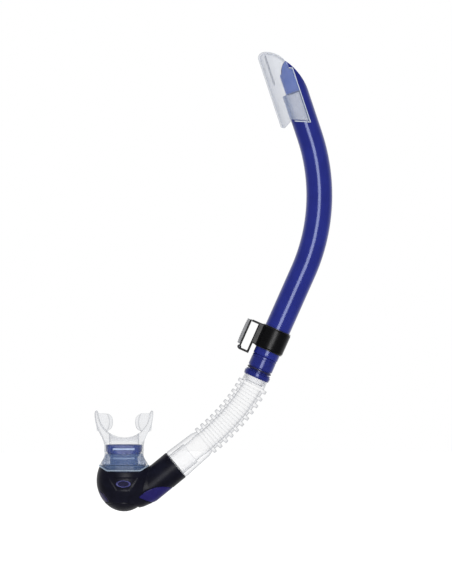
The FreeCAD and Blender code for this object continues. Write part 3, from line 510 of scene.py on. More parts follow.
# ---- barrel
TUBE_RADIUS, TUBE_WALL, TUBE_FOOT = 12.5, 2.0, 17.8
WINDOW_LOW, WINDOW_HIGH, WINDOW_EDGE, WINDOW_SLOPE = 13.0, 44.0, 4.5, 0.45
FLAT_OFFSET, FLAT_TOP, TONGUE_START = 7.4, 64.0, 42.0


def build_barrel():
    """A bent tube, cut by the outline of its window, its flat and its pointed tongue."""
    stations = [TUBE.moved(0, q) for q in np.linspace(-TUBE_FOOT + 0.5, STRAIGHT, 36)]
    for share in np.linspace(0, 1, 74)[1:-1]:
        a = TURN * share
        stations.append(TUBE.moved(-BEND_RADIUS * (1 - math.cos(a)), STRAIGHT + BEND_RADIUS * math.sin(a),
                                   LOWER_LEAN - math.degrees(a)))
    stations += [TOP.moved(0, q) for q in np.linspace(0, UPPER_RUN + 3, 52)]
    foot = TUBE.moved(0, -TUBE_FOOT)
    rings = [(foot, TUBE_RADIUS - 0.35), (TUBE.moved(0, -TUBE_FOOT + 0.12), TUBE_RADIUS - 0.12)]
    rings += [(place, TUBE_RADIUS) for place in stations]
    rings += [(place, TUBE_RADIUS - TUBE_WALL) for place in reversed(stations)]
    rings += [(foot, TUBE_RADIUS - TUBE_WALL)]
    points = np.concatenate([ring_of(place, radius) for place, radius in rings])
    faces = rings_to_faces(len(rings), True)
    tube = add_piece("barrel_tube", points, faces, None, "tube_blue")

    edge = outline([(-60, WINDOW_LOW + WINDOW_SLOPE * (WINDOW_EDGE + 60)), (WINDOW_EDGE, WINDOW_LOW),
                    (WINDOW_EDGE, WINDOW_HIGH), (-FLAT_OFFSET, WINDOW_HIGH), (-FLAT_OFFSET, FLAT_TOP),
                    (-4.6, 71.2, "arc"), (0, UPPER_RUN - 0.2), (8.7, 59.8, "arc"),
                    (TUBE_RADIUS, TONGUE_START), (60, TONGUE_START), (60, UPPER_RUN + 20),
                    (-60, UPPER_RUN + 20)])
    count = len(edge)
    cutter = TOP.world([(p, y, q) for y in (-30, 30) for p, q in edge])
    sides = [(i, (i + 1) % count, count + (i + 1) % count, count + i) for i in range(count)]
    ends = [list(range(count))[::-1], [count + i for i in range(count)]]
    tool = add_piece("cutter", cutter, ends + sides, None, "tube_blue")
    cutting = tube.modifiers.new("cut", "BOOLEAN")
    cutting.operation = "DIFFERENCE"
    cutting.solver = "EXACT"
    cutting.object = tool
    settle_modifiers(tube, 32.0)
    bpy.data.objects.remove(tool)
    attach(tube, "barrel")
    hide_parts("main_tube")


def settle_modifiers(thing, smooth):
    """Puts the result of an object's modifiers into its mesh."""
    bpy.context.view_layer.update()
    graph = bpy.context.evaluated_depsgraph_get()
    made = bpy.data.meshes.new_from_object(thing.evaluated_get(graph))
    thing.modifiers.clear()
    thing.data = made
    shade(made, smooth)


# ---- splash cap
CAP_RADIUS, CAP_WALL, CAP_CENTRE, CAP_LOW, CAP_HIGH, CAP_HEM = 14.2, 1.5, 9.8, 14.0, 90.0, 11.4
SLEEVE_RADIUS, VANE_PLACE, VANE_THICK = 12.9, 16.7, 1.2


def cap_section(p, y, radius):
    """Distance to the cap's cross-section: half-round inside, straight legs over the tube."""
    return np.hypot(np.minimum(p + CAP_CENTRE, 0), y) - radius


def build_cap():
    outer = outline([
        (WINDOW_EDGE, CAP_HEM), (WINDOW_EDGE, 66.5), (0.9, 68), (-0.6, 76.6), (-7.6, 85.2, "arc"),
        (-18.3, CAP_HIGH), (-22.6, 88.4, "arc"), (-24.4, 84.5), (-24.4, 16.5), (-20.2, CAP_LOW + 0.6),
        (-11.1, 19.7), (-9.2, 17.4),
    ])
    inner = outline([
        (80, -80), (80, 75.5), (-0.6, 75.5), (-8.2, 84.0, "arc"), (-18.1, CAP_HIGH - CAP_WALL),
        (-21.4, 87.2, "arc"), (-22.9, 84.2), (-22.9, -80),
    ])

    def field(p, y, q):
        hood = smax(cap_section(p, y, CAP_RADIUS), polygon(p, q, outer), 1.6)
        room = smax(cap_section(p, y, CAP_RADIUS - CAP_WALL), polygon(p, q, inner), 1.2)
        return smax(hood, -room, 0.5)

    def sleeve(p, y, q):
        shape = np.maximum(np.hypot(p, y) - SLEEVE_RADIUS, TUBE_RADIUS - TUBE_WALL + 0.9 - np.hypot(p, y))
        hem = WINDOW_LOW + 0.1 + WINDOW_SLOPE * (WINDOW_EDGE - p)
        shape = smax(shape, np.maximum(q - WINDOW_HIGH + 0.1, (hem - q) * 0.91), 0.5)
        return smax(shape, p - WINDOW_EDGE + 0.1, 0.5)

    def vane(p, y, q):
        plate = box_field(p, y, q, (-VANE_PLACE - VANE_THICK / 2, -12.8, 57),
                          (-VANE_PLACE + VANE_THICK / 2, 12.8, 86), 0.4)
        return smax(plate, cap_section(p, y, CAP_RADIUS - CAP_WALL + 0.1), 0.3)

    carve("splash_hood", field, (-24.4, -14.2, CAP_HEM), (4.5, 14.2, CAP_HIGH), 0.5, TOP, "barrel",
          "cap_clear", "splash_cap")
    carve("cap_sleeve", sleeve, (-12.9, -12.9, WINDOW_LOW), (4.5, 12.9, WINDOW_HIGH), 0.45, TOP, "barrel",
          "cap_clear", look="sleeve_tint")
    # Thin beads along the front and back edges of the hood's legs: the hood's edge, drawn near-white as a
    # painted highlight along it.
    edge = [(-9.3, 17.3), (WINDOW_EDGE - 0.15, CAP_HEM + 0.35), (WINDOW_EDGE - 0.15, 66.2), (1.2, 67.6)]
    for name, side in (("front", -1), ("back", 1)):
        middle = side * (CAP_RADIUS - 0.5)

        def bead(p, y, q):
            near = np.full(p.shape, 1e9)
            for (ax, ay), (bx, by) in zip(edge, edge[1:]):
                ex, ey = bx - ax, by - ay
                t = np.clip(((p - ax) * ex + (q - ay) * ey) / (ex * ex + ey * ey), 0, 1)
                near = np.minimum(near, np.hypot(p - ax - ex * t, q - ay - ey * t))
            return np.hypot(near, y - middle) - 0.42
        carve(f"cap_edge_highlight_{name}", bead, (-9.8, middle - 0.45, 11.2), (4.9, middle + 0.45, 68.2), 0.26, TOP,
              "barrel", "cap_clear", look="edge_highlight_white")
    carve("cap_vane", vane, (-17.6, -12.9, 56.8), (-15.9, 12.9, 86.2), 0.3, TOP, "barrel", "cap_clear",
          look="vane_clear")


def build_cheeks():
    """Two thin cheeks of the baffle, which wrap the barrel under the legs of the cap."""
    inner, outer = TUBE_RADIUS + 0.03, TUBE_RADIUS + 0.15
    angles = np.linspace(math.acos(4.3 / outer), math.acos(-FLAT_OFFSET / outer), 30)
    across = outer * np.cos(angles)
    top = np.interp(-across, [-4.4, -0.95, -0.9, 0.6, 4.6, 7.4], [66.3, 66.5, 68.0, 74.6, 71.0, 64.0])
    rows = 24
    for name, side in (("front", -1), ("back", 1)):
        grids = []
        for radius in (outer, inner):
            for share in np.linspace(0, 1, rows):
                height = WINDOW_HIGH + 0.3 + (top - WINDOW_HIGH - 0.6) * share
                grids.append(np.stack([radius * np.cos(angles), side * radius * np.sin(angles), height], 1))
        grids = grids[:rows] + grids[rows:][::-1]
        points = np.concatenate(grids)
        count = len(angles)
        faces = [(r * count + a, r * count + a + 1, (r + 1) % (2 * rows) * count + a + 1,
                  (r + 1) % (2 * rows) * count + a) for r in range(2 * rows) for a in range(count - 1)]
        for column in (0, count - 1):
            faces += [(r * count + column, (r + 1) * count + column, (2 * rows - 2 - r) * count + column,
                       (2 * rows - 1 - r) * count + column) for r in range(rows - 1)]
        add_piece(f"baffle_cheek_{name}", TOP.world(points), faces, "barrel", "baffle_blue")


# ---- swivel
def build_swivel():
    def turned(name, profile, body, slot, replaces=None, look=None):
        points, faces = lathe(rounded(profile, 0.35), TUBE)
        add_piece(name, points, faces, body, slot, replaces, look=look)

    turned("swivel_collar",
           [(7.6, 15.0 - TUBE_FOOT), (10.4, 15.0 - TUBE_FOOT, 0.9), (10.4, -17.9, 0.2), (11.7, -17.9, 0.3),
            (12.2, -18.5, 0.4), (12.2, -20.1, 0.2), (11.95, -20.35, 0.15), (11.95, -20.7, 0.15),
            (12.2, -20.95, 0.2), (12.2, -29.4, 0.9), (11.6, -30.1, 0.4), (11.3, -30.3, 0.2),
            (11.3, -33.3, 0.2), (9.4, -33.3, 0.1), (9.4, -36.0, 0.1), (7.6, -36.0, 0.1)], "barrel",
           "fitting_blue", "swivel_housing")
    turned("swivel_bearing", [
        (7.65, -36.05), (8.9, -36.05, 0.1), (8.9, -44.3, 0.1), (8.3, -44.3, 0.1), (8.3, -45.5, 0.1),
        (8.7, -45.5, 0.1), (8.7, -46.3, 0.3), (7.65, -46.3, 0.3),
    ], "barrel", "fitting_blue", look="snap_plastic")
    turned("swivel_oring",
           [(9.5, -31.0), (11.9, -31.0, 0.6), (12.45, -31.75, 0.6), (11.9, -32.5, 0.6), (9.5, -32.5)],
           "barrel", "seal_rubber", "swivel_seal")
    points, faces = lathe(rounded([(8.4, -45.4), (9.15, -45.4), (9.15, -44.4), (8.4, -44.4)], 0.2), TUBE,
                          turns=96)
    add_piece("snap_clip", points, faces, "barrel", "snap_plastic", "snap_ring", look="clip_grey")
    turned("swivel_band",
           [(9.6, -33.6), (12.35, -33.6, 0.3), (12.35, -34.4, 0.1), (12.0, -34.6, 0.1), (12.0, -34.95, 0.1),
            (12.95, -35.2, 0.3), (12.95, -38.0, 0.25), (12.6, -38.3, 0.15), (12.6, -38.6, 0.15),
            (12.8, -38.8, 0.2), (12.6, -39.5, 0.4), (9.6, -39.5, 0.1)], "swivel", "fitting_blue",
           "swivel_ring")
    turned("swivel_sleeve", [(8.97, -39.55), (10.15, -39.55, 0.15), (10.15, -43.9, 0.4), (8.97, -43.9, 0.2)],
           "swivel", "fitting_blue", look="snap_plastic")


# ---- hose
RIB_RADIUS, RIB_HALF, WEB_RADIUS, BORE_RADIUS = 15.0, 1.65, 11.7, 9.5
CUFF_TOP, CUFF_END = 13.7, 15.05


def rib_side():
    """Half a rib's outer profile, from its middle down to the web: (radius, distance below the middle)."""
    return rounded([(RIB_RADIUS, 0), (RIB_RADIUS, RIB_HALF, 0.7), (WEB_RADIUS, RIB_HALF - 0.15, 0.8),
                    (WEB_RADIUS, PITCH / 2)], steps=5, closed=False)


def build_hose():
    half = rib_side()
    inner = [(BORE_RADIUS + 0.35, 0), (BORE_RADIUS + 0.3, 1.1), (BORE_RADIUS, 2.1), (BORE_RADIUS, PITCH / 2)]

    def station(index, distance):
        """The place a distance below rib index along the hose, turning smoothly between the two ribs."""
        rigid = 1.9
        share = ease(min(max((distance - rigid) / (PITCH - 2 * rigid), 0), 1))
        lean = rib_lean(index) + (rib_lean(index + 1) - rib_lean(index)) * share
        if distance <= PITCH / 2:
            return RIBS[index].moved(0, -distance, lean)
        return RIBS[index + 1].moved(0, PITCH - distance, lean)

    for index in range(LINKS + 1):
        for side, profile in (("skin", half), ("bore", inner)):
            down = list(profile)
            up = [(radius, PITCH - distance) for radius, distance in reversed(profile[:-1])]
            points = np.concatenate([ring_of(station(index, distance), radius) for radius,
                                     distance in down + up])
            faces = rings_to_faces(len(down + up), False)
            if side == "skin":
                faces = [face[::-1] for face in faces]
            piece = add_piece(f"hose_{side}_{index + 1}", points, faces, None, "hose_silicone", closed=False)
            start = RIBS[index].spot(0, -2.3)
            end = RIBS[index + 1].spot(0, 2.3)
            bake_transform(piece)
            if side == "skin" and index:
                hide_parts(f"hose_link_{index}")

    neck = rounded([(BORE_RADIUS + 0.9, -44.2), (10.35, -44.2, 0.1), (10.35, -39.7, 0.1), (11.3, -39.7, 0.3),
                    (11.6, -40.4, 0.3), (WEB_RADIUS, -47.0)], 0.3, closed=False)
    above = [(radius, -distance) for radius, distance in reversed(half)]
    top = [TUBE.moved(0, height) for _, height in neck]
    rings = [ring_of(place, radius) for place, (radius, _) in zip(top, neck)]
    rings += [ring_of(RIBS[0].moved(0, -distance), radius) for radius, distance in above if distance > -1.7]
    points = np.concatenate(rings)
    faces = [face[::-1] for face in rings_to_faces(len(rings), False)]
    add_piece("hose_cuff_top", points, faces, "swivel", "hose_silicone", "hose_upper_cuff", closed=False)

    skin = [(radius, -distance) for radius, distance in half if distance < 2.0]
    tail = rounded([skin[-1], (CUFF_TOP - 1.0, -3.6, 0.6), (CUFF_TOP, -6.4, 1.5),
                    (CUFF_END, -CUFF_LENGTH + 1.2, 0.3), (CUFF_END - 0.5, -CUFF_LENGTH + 0.05, 0.4),
                    (11.1, -CUFF_LENGTH + 0.05, 0.2), (11.1, -CUFF_LENGTH + 17.8, 0.2),
                    (BORE_RADIUS, -CUFF_LENGTH + 17.9, 0.2), (BORE_RADIUS, -CUFF_LENGTH + 26.0),
                    (10.2, -CUFF_LENGTH + 30.4, 1.0), (BORE_RADIUS + 0.35, 0)], 0.4, closed=False)
    profile = skin[:-1] + [tuple(point) for point in tail]
    points, faces = lathe(profile, RIBS[-1], closed=False)
    add_piece("hose_cuff_low", points, faces, "chamber", "hose_silicone", "hose_lower_cuff", closed=False)


# ---- chamber
BULB_ACROSS, BULB_DEPTH, BULB_HEIGHT = 26.4, 21.5, 29.8
BOOT_RADIUS, NECK_LENGTH, SKIN, SHELL, SEAT_REACH, DECK = 15.15, 34.6, 2.0, 2.0, 24.4, 1.9
HEEL_ACROSS, HEEL_DROP, HEEL_HALF, HEEL_DEPTH, HEEL_HEIGHT = 14.0, 8.0, 17.0, 15.5, 18.0
PORT_ACROSS, PORT_DEPTH, PORT_TOP, PORT_WALL = 17.6, 10.0, 34.2, 1.8
SADDLE = [(-60, 13.6), (-23.6, 13.6), (-16.0, 9.2), (16.0, 9.2), (23.6, 13.6), (60, 13.6)]
LEAF = [(14.5, -15.7), (30, -6.2, "arc"), (46.9, -6.9), (51.9, -15.7), (36, -30.1), (26.7, -21.1)]
# LIT_LEFT_PATCH outlines painted light on the boot: an indigo patch on the front left only, where the blue
# bottom is lit. The bottom's middle, between it and the window, is left boot black as painted shade.
LIT_LEFT_PATCH = [(-25.5, -8.5), (-19.5, -12.5, "arc"), (-14.5, -19.5), (-20.0, -21.5), (-26.5, -15.5)]
PURGE_SHIFT, PURGE_HOLE, PURGE_LEVEL, SEAT_HOLE = -0.7, 15.15, 17.5, 10.5
SEAT_SLOPE = 0.87  # turns a height above the sloping seat into a distance


def neck_terms(x, y, z):
    """Distance along the neck's axis, negative below its end, and distance off that axis."""
    nx, nz = x - NECK_ACROSS, z - NECK_UP
    return nx * NECK.s + nz * NECK.c, np.hypot(nx * NECK.c - nz * NECK.s, y)


def chamber_form(x, y, z):
    """The chamber's outside in the bulb's frame: bulb, neck, the round elbow and the heel below it."""
    bulb = ellipsoid(x, y, z, BULB_ACROSS, BULB_DEPTH, BULB_HEIGHT)
    heel = ellipsoid(x - HEEL_ACROSS, y, z + HEEL_DROP, HEEL_HALF, HEEL_DEPTH, HEEL_HEIGHT)
    along, off = neck_terms(x, y, z)
    neck = np.maximum(off - BOOT_RADIUS, along)
    far = -NECK_LENGTH
    inner_end = np.sqrt(off ** 2 + np.minimum(along - far, 0) ** 2) - BOOT_RADIUS
    neck = np.maximum(neck, inner_end)
    both = smin(bulb, neck, 3.0)
    groove = np.exp(-((bulb - neck) / 0.7) ** 2) * (np.abs(both) < 4)
    return smin(both + 0.45 * groove, heel, 2.5)


def saddle_height(x):
    return np.interp(x, [a for a, _ in SADDLE], [b for _, b in SADDLE])


def above_seat(x, z, drop=0.0):
    """Negative above the dished seat that the mouthpiece stands on."""
    return np.maximum((saddle_height(x) - drop - z) * SEAT_SLOPE, np.abs(x) - SEAT_REACH)


def mould(name, field, low, high, step, slot, replaces=None, look=None):
    """A piece sculpted in the bulb's frame, which moves with the chamber."""
    carve(name, field, low, high, step, BULB, "chamber", slot, replaces, 50.0, look)


def build_core():
    """The hard chamber inside the soft skin, with the port that the mouthpiece fits over."""
    def field(x, y, z):
        form = chamber_form(x, y, z)
        along, off = neck_terms(x, y, z)
        shape = smax(form + SKIN + 0.15, -above_seat(x, z), 0.4)
        shape = smax(shape, along + 0.3, 0.4)
        half = np.interp(z, [15.0, 17.5, 22.5, 28.0, PORT_TOP], [14.2, 13.4, 13.4, 17.0, PORT_ACROSS])
        port = stadium(x, y, half, PORT_DEPTH) * 0.9
        port = smax(port, np.abs(z - PORT_TOP / 2 - 3.0) - PORT_TOP / 2 + 3.0, 0.8)
        shape = smin(shape, port, 1.2)
        room = np.maximum(np.maximum(form + SKIN + SHELL, -above_seat(x, z, DECK)),
                          -(z + PURGE_LEVEL - SHELL))
        bore = np.maximum(stadium(x, y, half - PORT_WALL, PORT_DEPTH - PORT_WALL) * 0.9, -z)
        way = np.maximum(off - BORE_RADIUS, -(along + 20.0))
        shape = smax(shape, -np.minimum(np.minimum(room, bore), way), 0.5)
        round_purge = np.hypot(x - PURGE_SHIFT, y)
        purge = np.minimum(np.maximum(round_purge - PURGE_HOLE, z + PURGE_LEVEL),
                           np.maximum(round_purge - SEAT_HOLE, z))
        return smax(shape, -purge, 0.4)

    mould("chamber_core", field, (-25, -20, -28), (62, 20, 35), 0.75, "chamber_blue", "chamber_body")

    def foot(x, y, z):
        across = 22.0 - 0.12 * np.clip(z - 9.0, 0, 9)
        layer = np.maximum(z - 15.0, (saddle_height(x) + 0.3 - z) * SEAT_SLOPE)
        plate = smax(stadium(x, y, across, 15.0), layer, 0.9)
        return smax(plate, -stadium(x, y, 14.0, PORT_DEPTH + 0.1), 0.5)

    mould("port_foot", foot, (-22.4, -15.4, 9), (22.4, 15.4, 15.4), 0.5, "chamber_blue", look="foot_blue")

    def haze(x, y, z):
        share = ease(np.clip((z - 15.0) / 10.5, 0, 1))
        body = stadium(x, y, 21.7 - 3.7 * share, 15.0 - 4.2 * share) * 0.93
        return smax(body, np.abs(z - 20.4) - 5.2, 0.8)

    mould("port_socket", haze, (-22, -15.3, 15), (22, 15.3, 25.8), 0.6, "chamber_blue", look="port_haze")
    profile = [(9.3, -2.0), (11.0, -2.0), (11.0, 5.4), (10.6, 5.7), (10.6, 6.5), (11.0, 6.8), (11.0, 12.4),
               (10.6, 12.7), (10.6, 13.5), (11.0, 13.8), (11.0, 17.2), (10.5, 17.8), (9.3, 17.8)]
    points, faces = lathe(rounded(profile, 0.2), NECK)
    add_piece("neck_spigot", points, faces, "chamber", "chamber_blue", look="spigot_clear")


def build_chamber():
    leaf = outline(LEAF)
    patch = outline(LIT_LEFT_PATCH)
    recess = [(-13.1, 2.9), (12.6, 2.9), (5.4, -7.9), (-6.2, -7.9)]

    def skin_field(x, y, z):
        outside = chamber_form(x, y, z)
        hollow = np.clip(1.2 - polygon(x, z, recess), 0, 1.2) / 1.2
        outside = outside + np.where(y < 0, 0.55 * ease(hollow), 0)
        shell = smax(outside, -(outside + SKIN), 0.5)
        shell = smax(shell, -above_seat(x, z), 0.5)
        shell = smax(shell, neck_terms(x, y, z)[0] + 0.02, 0.6)
        purge = np.maximum(np.hypot(x - PURGE_SHIFT, y) - PURGE_HOLE, z + PURGE_LEVEL)
        return smax(shell, -purge, 0.5)

    def boot(x, y, z):
        shape = skin_field(x, y, z)
        shape = smax(shape, 0.12 - polygon(x, z, leaf), 0.5)
        # The skin is cut away on the front where the painted lit patch lies.
        lit_front_patch = np.maximum(polygon(x, z, patch), y)
        return smax(shape, 0.12 - lit_front_patch, 0.5)

    low, high = (-27.5, -22.5, -30.6), (62.5, 22.5, 25.5)
    mould("chamber_skin", boot, low, high, 0.72, "boot_black", "chamber_boot")

    def window(x, y, z):
        return smax(skin_field(x, y, z) + 0.18, polygon(x, z, leaf), 0.6)

    mould("chamber_window", window, (12, -19, -31), (54, 19, -4), 0.7, "window_indigo", "neck_window")

    # The painted lit patch: the lit front left of the boot's blue bottom, laid into the skin as an indigo
    # piece.
    def lit_patch_field(x, y, z):
        return smax(skin_field(x, y, z) + 0.18, np.maximum(polygon(x, z, patch), y + 2), 0.6)

    mould("chamber_lit_patch", lit_patch_field, (-28, -21, -24), (-12, -1, -6), 0.6, "window_indigo", look="lit_patch_indigo")

    # A plain oval badge: a raised ring around a shallow dish.
    def rim(x, y, z):
        return np.hypot((np.hypot(x / 6.1, (z + 2.2) / 2.95) - 1) * 3.6, y + 21.15) - 0.62

    def dish(x, y, z):
        return smax(np.hypot(x / 6.0, (z + 2.2) / 2.85) * 3.6 - 3.6, np.abs(y + 20.9) - 0.35, 0.3)

    mould("oval_badge_ring", rim, (-7.6, -22.3, -6.2), (7.6, -19.9, 1.8), 0.22, "badge_blue", "oval_badge")
    mould("oval_badge_dish", dish, (-7.0, -21.6, -5.6), (7.0, -20.2, 1.2), 0.26, "badge_blue",
          look="badge_dark")

    # Two raised bars on the front and back of the port, seen through the mouthpiece.
    for number, level in ((1, 30.5), (2, 21.6)):
        for side, face in (("front", -1), ("back", 1)):
            near, far = sorted((face * 9.6, face * 10.7))

            def bar(x, y, z):
                return box_field(x, y, z, (-10.6, near, level - 0.95), (10.6, far, level + 0.95), 0.5)

            mould(f"port_bar_{side}_{number}", bar, (-11, near - 0.2, level - 1.2),
                  (11, far + 0.2, level + 1.2), 0.3, "chamber_blue", look="bar_pale")


# ---- mouthpiece
BOOT_ACROSS, BOOT_DEPTH, NECK_HALF, NECK_DEPTH = 23.4, 16.5, 18.9, 12.0
FLANGE_LEVEL, FLANGE_INNER, FLANGE_TIP, FLANGE_HALF = 66.0, 25.4, 67.3, 13.5
LUG_INNER, LUG_LOW, LUG_HIGH, LUG_THICK, LIP_HALF, LIP_THICK = 10.6, 47.5, 64.5, 3.2, 5.0, 3.4


def build_mouthpiece():
    edge = outline([(-18.9, 33.0), (18.9, 33.0), (19.3, 37.5), (21.2, 42.6), (25.4, 51, "arc"),
                    (27.9, 65.0), (27.4, 67.3), (25.9, 67.3), (25.4, 66.0),
                    (0, FLANGE_LEVEL - FLANGE_INNER, "arc"), (-25.4, 66.0), (-25.9, 67.3), (-27.4, 67.3),
                    (-27.9, 65.0), (-25.4, 51, "arc"), (-21.2, 42.6), (-19.3, 37.5)])

    def field(x, y, z):
        share = ease(np.clip((z - 13.6) / 11.4, 0, 1))
        across = BOOT_ACROSS + (NECK_HALF - BOOT_ACROSS) * share
        depth = BOOT_DEPTH + (NECK_DEPTH - BOOT_DEPTH) * share
        body = (np.hypot(np.maximum(np.abs(x) - (across - depth), 0), y) - depth) * 0.93
        body = smax(body, z - 36.5, 1.5)
        body = smax(body, (saddle_height(x) - z) * SEAT_SLOPE, 0.6)
        sheet = polygon(x, z, edge)
        side = np.abs(y) - FLANGE_HALF
        corner = np.hypot(np.maximum(np.abs(y) - (FLANGE_HALF - 8.0), 0),
                          np.maximum(z - (FLANGE_TIP - 8.0), 0)) - 8.0
        foot = np.hypot(np.maximum(np.abs(y) - (FLANGE_HALF - 7.0), 0), np.maximum(43.0 - z, 0)) - 7.0
        sheet = smax(sheet, smax(smax(side, corner, 1.0), foot, 1.0), 1.4)
        shape = smin(body, sheet, 2.2)
        ax = np.abs(x) - 3.0 * ((z - (LUG_LOW + LUG_HIGH) / 2) / 9.5) ** 2
        plate = box_field(np.abs(x), y, z, (LUG_INNER + 2.4, -LUG_THICK / 2, LUG_LOW - 1.0),
                          (FLANGE_INNER + 0.9, LUG_THICK / 2, LUG_HIGH + 1.9), 1.4)
        lip = box_field(ax, y, z, (LUG_INNER, -LIP_HALF, LUG_LOW - 1.5), (LUG_INNER + LIP_THICK, LIP_HALF,
                        LUG_HIGH + 1.0), 1.65)
        lug = smax(smin(plate, lip, 1.6), np.abs(x) - FLANGE_INNER - 1.0, 0.6) * 0.85
        room = np.hypot(np.maximum(LUG_LOW + 4.5 - z, 0), np.maximum(LUG_INNER + 4.5 - ax, 0)) - 4.5
        room_top = np.hypot(np.maximum(z - LUG_HIGH + 5.5, 0), np.maximum(LUG_INNER + 5.5 - ax, 0)) - 5.5
        lug = smax(lug, smax(room, room_top, 0.5), 0.6)
        shape = smin(shape, lug, 1.8)
        port = smax(stadium(x, y, 17.75, 10.15), z - 34.4, 0.5)
        breath = smax(stadium(x, y, 14.5, 6.5), z - (LUG_LOW - 1), 0.5)
        return smax(shape, -smin(port, breath, 0.5), 0.8)

    def rim(x, y, z):
        return np.hypot(stadium(x, y, BOOT_ACROSS + 0.15, BOOT_DEPTH + 0.15),
                        (z - saddle_height(x) - 0.85) * 0.9) - 0.72

    carve("mouth_rim", rim, (-24.6, -17.6, 9), (24.6, 17.6, 15.4), 0.42, BULB, "chamber", "mouth_silicone",
          look="rim_pale")
    carve("mouth_silicone", field, (-28.2, -17.4, 8.4), (28.2, 17.4, 67.6), 0.55, BULB, "chamber",
          "mouth_silicone", "mouthpiece")


# ---- keeper
SLOT_GAP, SLOT_LENGTH, CLIP_WALL, ARM_DEPTH, GATE_THICK, GATE_GAP = 7.4, 27.4, 1.5, 14.0, 1.6, 0.3
SLOT_NEAR, SLOT_FAR = -(SLOT_OFFSET - SLOT_GAP / 2), -(SLOT_OFFSET + SLOT_GAP / 2)
SLOT_TOP, SLOT_LOW = SLOT_LENGTH / 2 - SLOT_DROP, -SLOT_LENGTH / 2 - SLOT_DROP
HINGE_X, HINGE_Z = SLOT_FAR - GATE_THICK / 2 - 0.1, SLOT_LOW + 0.4
CLIP_BORE, CLIP_RADIUS, CLIP_HALF = 13.18, 14.3, 10.5
PAD_LOW, PAD_THICK = 15.8, 3.2
KNUCKLE_WIDTH = 6.6


def build_keeper():
    wall = CLIP_WALL + 0.45
    arm = [
        (-8, -CLIP_HALF), (SLOT_NEAR + wall, -CLIP_HALF), (SLOT_NEAR + wall, SLOT_LOW - wall),
        (HINGE_X, SLOT_LOW - wall), (HINGE_X, SLOT_LOW), (SLOT_NEAR, SLOT_LOW), (SLOT_NEAR, SLOT_TOP),
        (SLOT_FAR + GATE_GAP, SLOT_TOP), (SLOT_FAR + GATE_GAP, SLOT_TOP + wall), (-13, CLIP_HALF),
        (-8, CLIP_HALF),
    ]

    def clip(x, y, z):
        plate = smax(polygon(x, z, arm), np.abs(y) - ARM_DEPTH / 2, 0.9)
        knuckle = smax(np.hypot(x - HINGE_X, z - HINGE_Z) - 1.9, np.abs(y) - ARM_DEPTH / 2, 0.5)
        ring = smax(np.hypot(x, y) - CLIP_RADIUS, np.abs(z) - CLIP_HALF, 1.4)
        both = smin(smin(plate, knuckle, 0.4), ring, 1.6)
        both = smax(both, CLIP_BORE - np.hypot(x, y), 0.4)
        room = box_field(x, y, z, (HINGE_X - 3, -KNUCKLE_WIDTH / 2 - GATE_GAP, SLOT_LOW - CLIP_WALL - 2),
                         (HINGE_X + 2.4, KNUCKLE_WIDTH / 2 + GATE_GAP, SLOT_LOW + 3))
        both = smax(both, -room, 0.3)
        return smax(both, 0.8 - np.hypot(x - HINGE_X, z - HINGE_Z), 0.2)

    carve("keeper_ring", clip, (-29.2, -14.4, -21), (14.4, 14.4, 10.6), 0.42, TUBE, "keeper",
          "keeper_black", "keeper_clip")

    bush = [(12.58, -11.3, 0.2), (13.9, -11.3, 0.25), (13.9, -10.65, 0.15), (13.1, -10.65, 0.1),
            (13.1, 10.65, 0.1), (13.9, 10.65, 0.15), (13.9, 11.3, 0.25), (12.58, 11.3, 0.2)]
    points, faces = lathe(rounded(bush, 0.2), TUBE)
    add_piece("keeper_bush", points, faces, "liner", "liner_plastic", "keeper_liner")

    outer = SLOT_FAR - GATE_THICK

    def gate(x, y, z):
        wall = box_field(x, y, z, (outer, -ARM_DEPTH / 2, -PAD_LOW + 0.2), (SLOT_FAR, ARM_DEPTH / 2,
                         SLOT_TOP + CLIP_WALL), 0.55)
        neck = box_field(x, y, z, (outer, -KNUCKLE_WIDTH / 2, HINGE_Z),
                         (SLOT_FAR, KNUCKLE_WIDTH / 2, -PAD_LOW + 1), 0.3)
        knuckle = smax(np.hypot(x - HINGE_X, z - HINGE_Z) - 1.7, np.abs(y) - KNUCKLE_WIDTH / 2, 0.3)
        shape = smin(smin(wall, neck, 0.3), knuckle, 0.3)
        return smax(shape, 0.86 - np.hypot(x - HINGE_X, z - HINGE_Z), 0.15)

    carve("strap_gate_wall", gate, (outer - 0.4, -7.2, -21), (SLOT_FAR + 1.2, 7.2, 10.2), 0.34, TUBE,
          "gate", "keeper_black", "strap_gate")

    def thumb(x, y, z):
        wave = 0.42 * (0.5 + 0.5 * np.cos((z + PAD_LOW) * 2 * math.pi / 2.0))
        crown = 0.5 * np.clip(np.abs(z + 3.1) / 12.5, 0, 1) ** 3
        block = box_field(x, y, z, (outer - PAD_THICK, -7.5, -PAD_LOW),
                          (outer - 0.02, 7.5, SLOT_TOP + CLIP_WALL - 0.4), 0.7)
        face = (outer - PAD_THICK + crown + wave) - x
        return smax(block, face, 0.4)

    carve("thumb_pad", thumb, (outer - PAD_THICK, -7.5, -PAD_LOW), (outer, 7.5, SLOT_TOP + CLIP_WALL), 0.36,
          TUBE, "gate", "pad_grey", "gate_pad")


# ---- carried-over CAD nodes
def dress_nodes():
    for node, look in (("guard_baffle", "baffle_blue"), ("gate_pin", "pin_dark"),
                       ("purge_seat", "purge_plastic"), ("purge_diaphragm", "diaphragm_silicone"),
                       ("purge_cover", "cover_dark")):
        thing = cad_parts[node]
        if not thing.data.materials:
            thing.data.materials.append(LOOKS[look])
        for place in thing.material_slots:
            place.material = LOOKS[look]
        shade(thing.data, 30.0)


build_barrel()
build_cap()
build_cheeks()
build_swivel()
build_hose()
build_core()
build_chamber()
build_mouthpiece()
build_keeper()
dress_nodes()


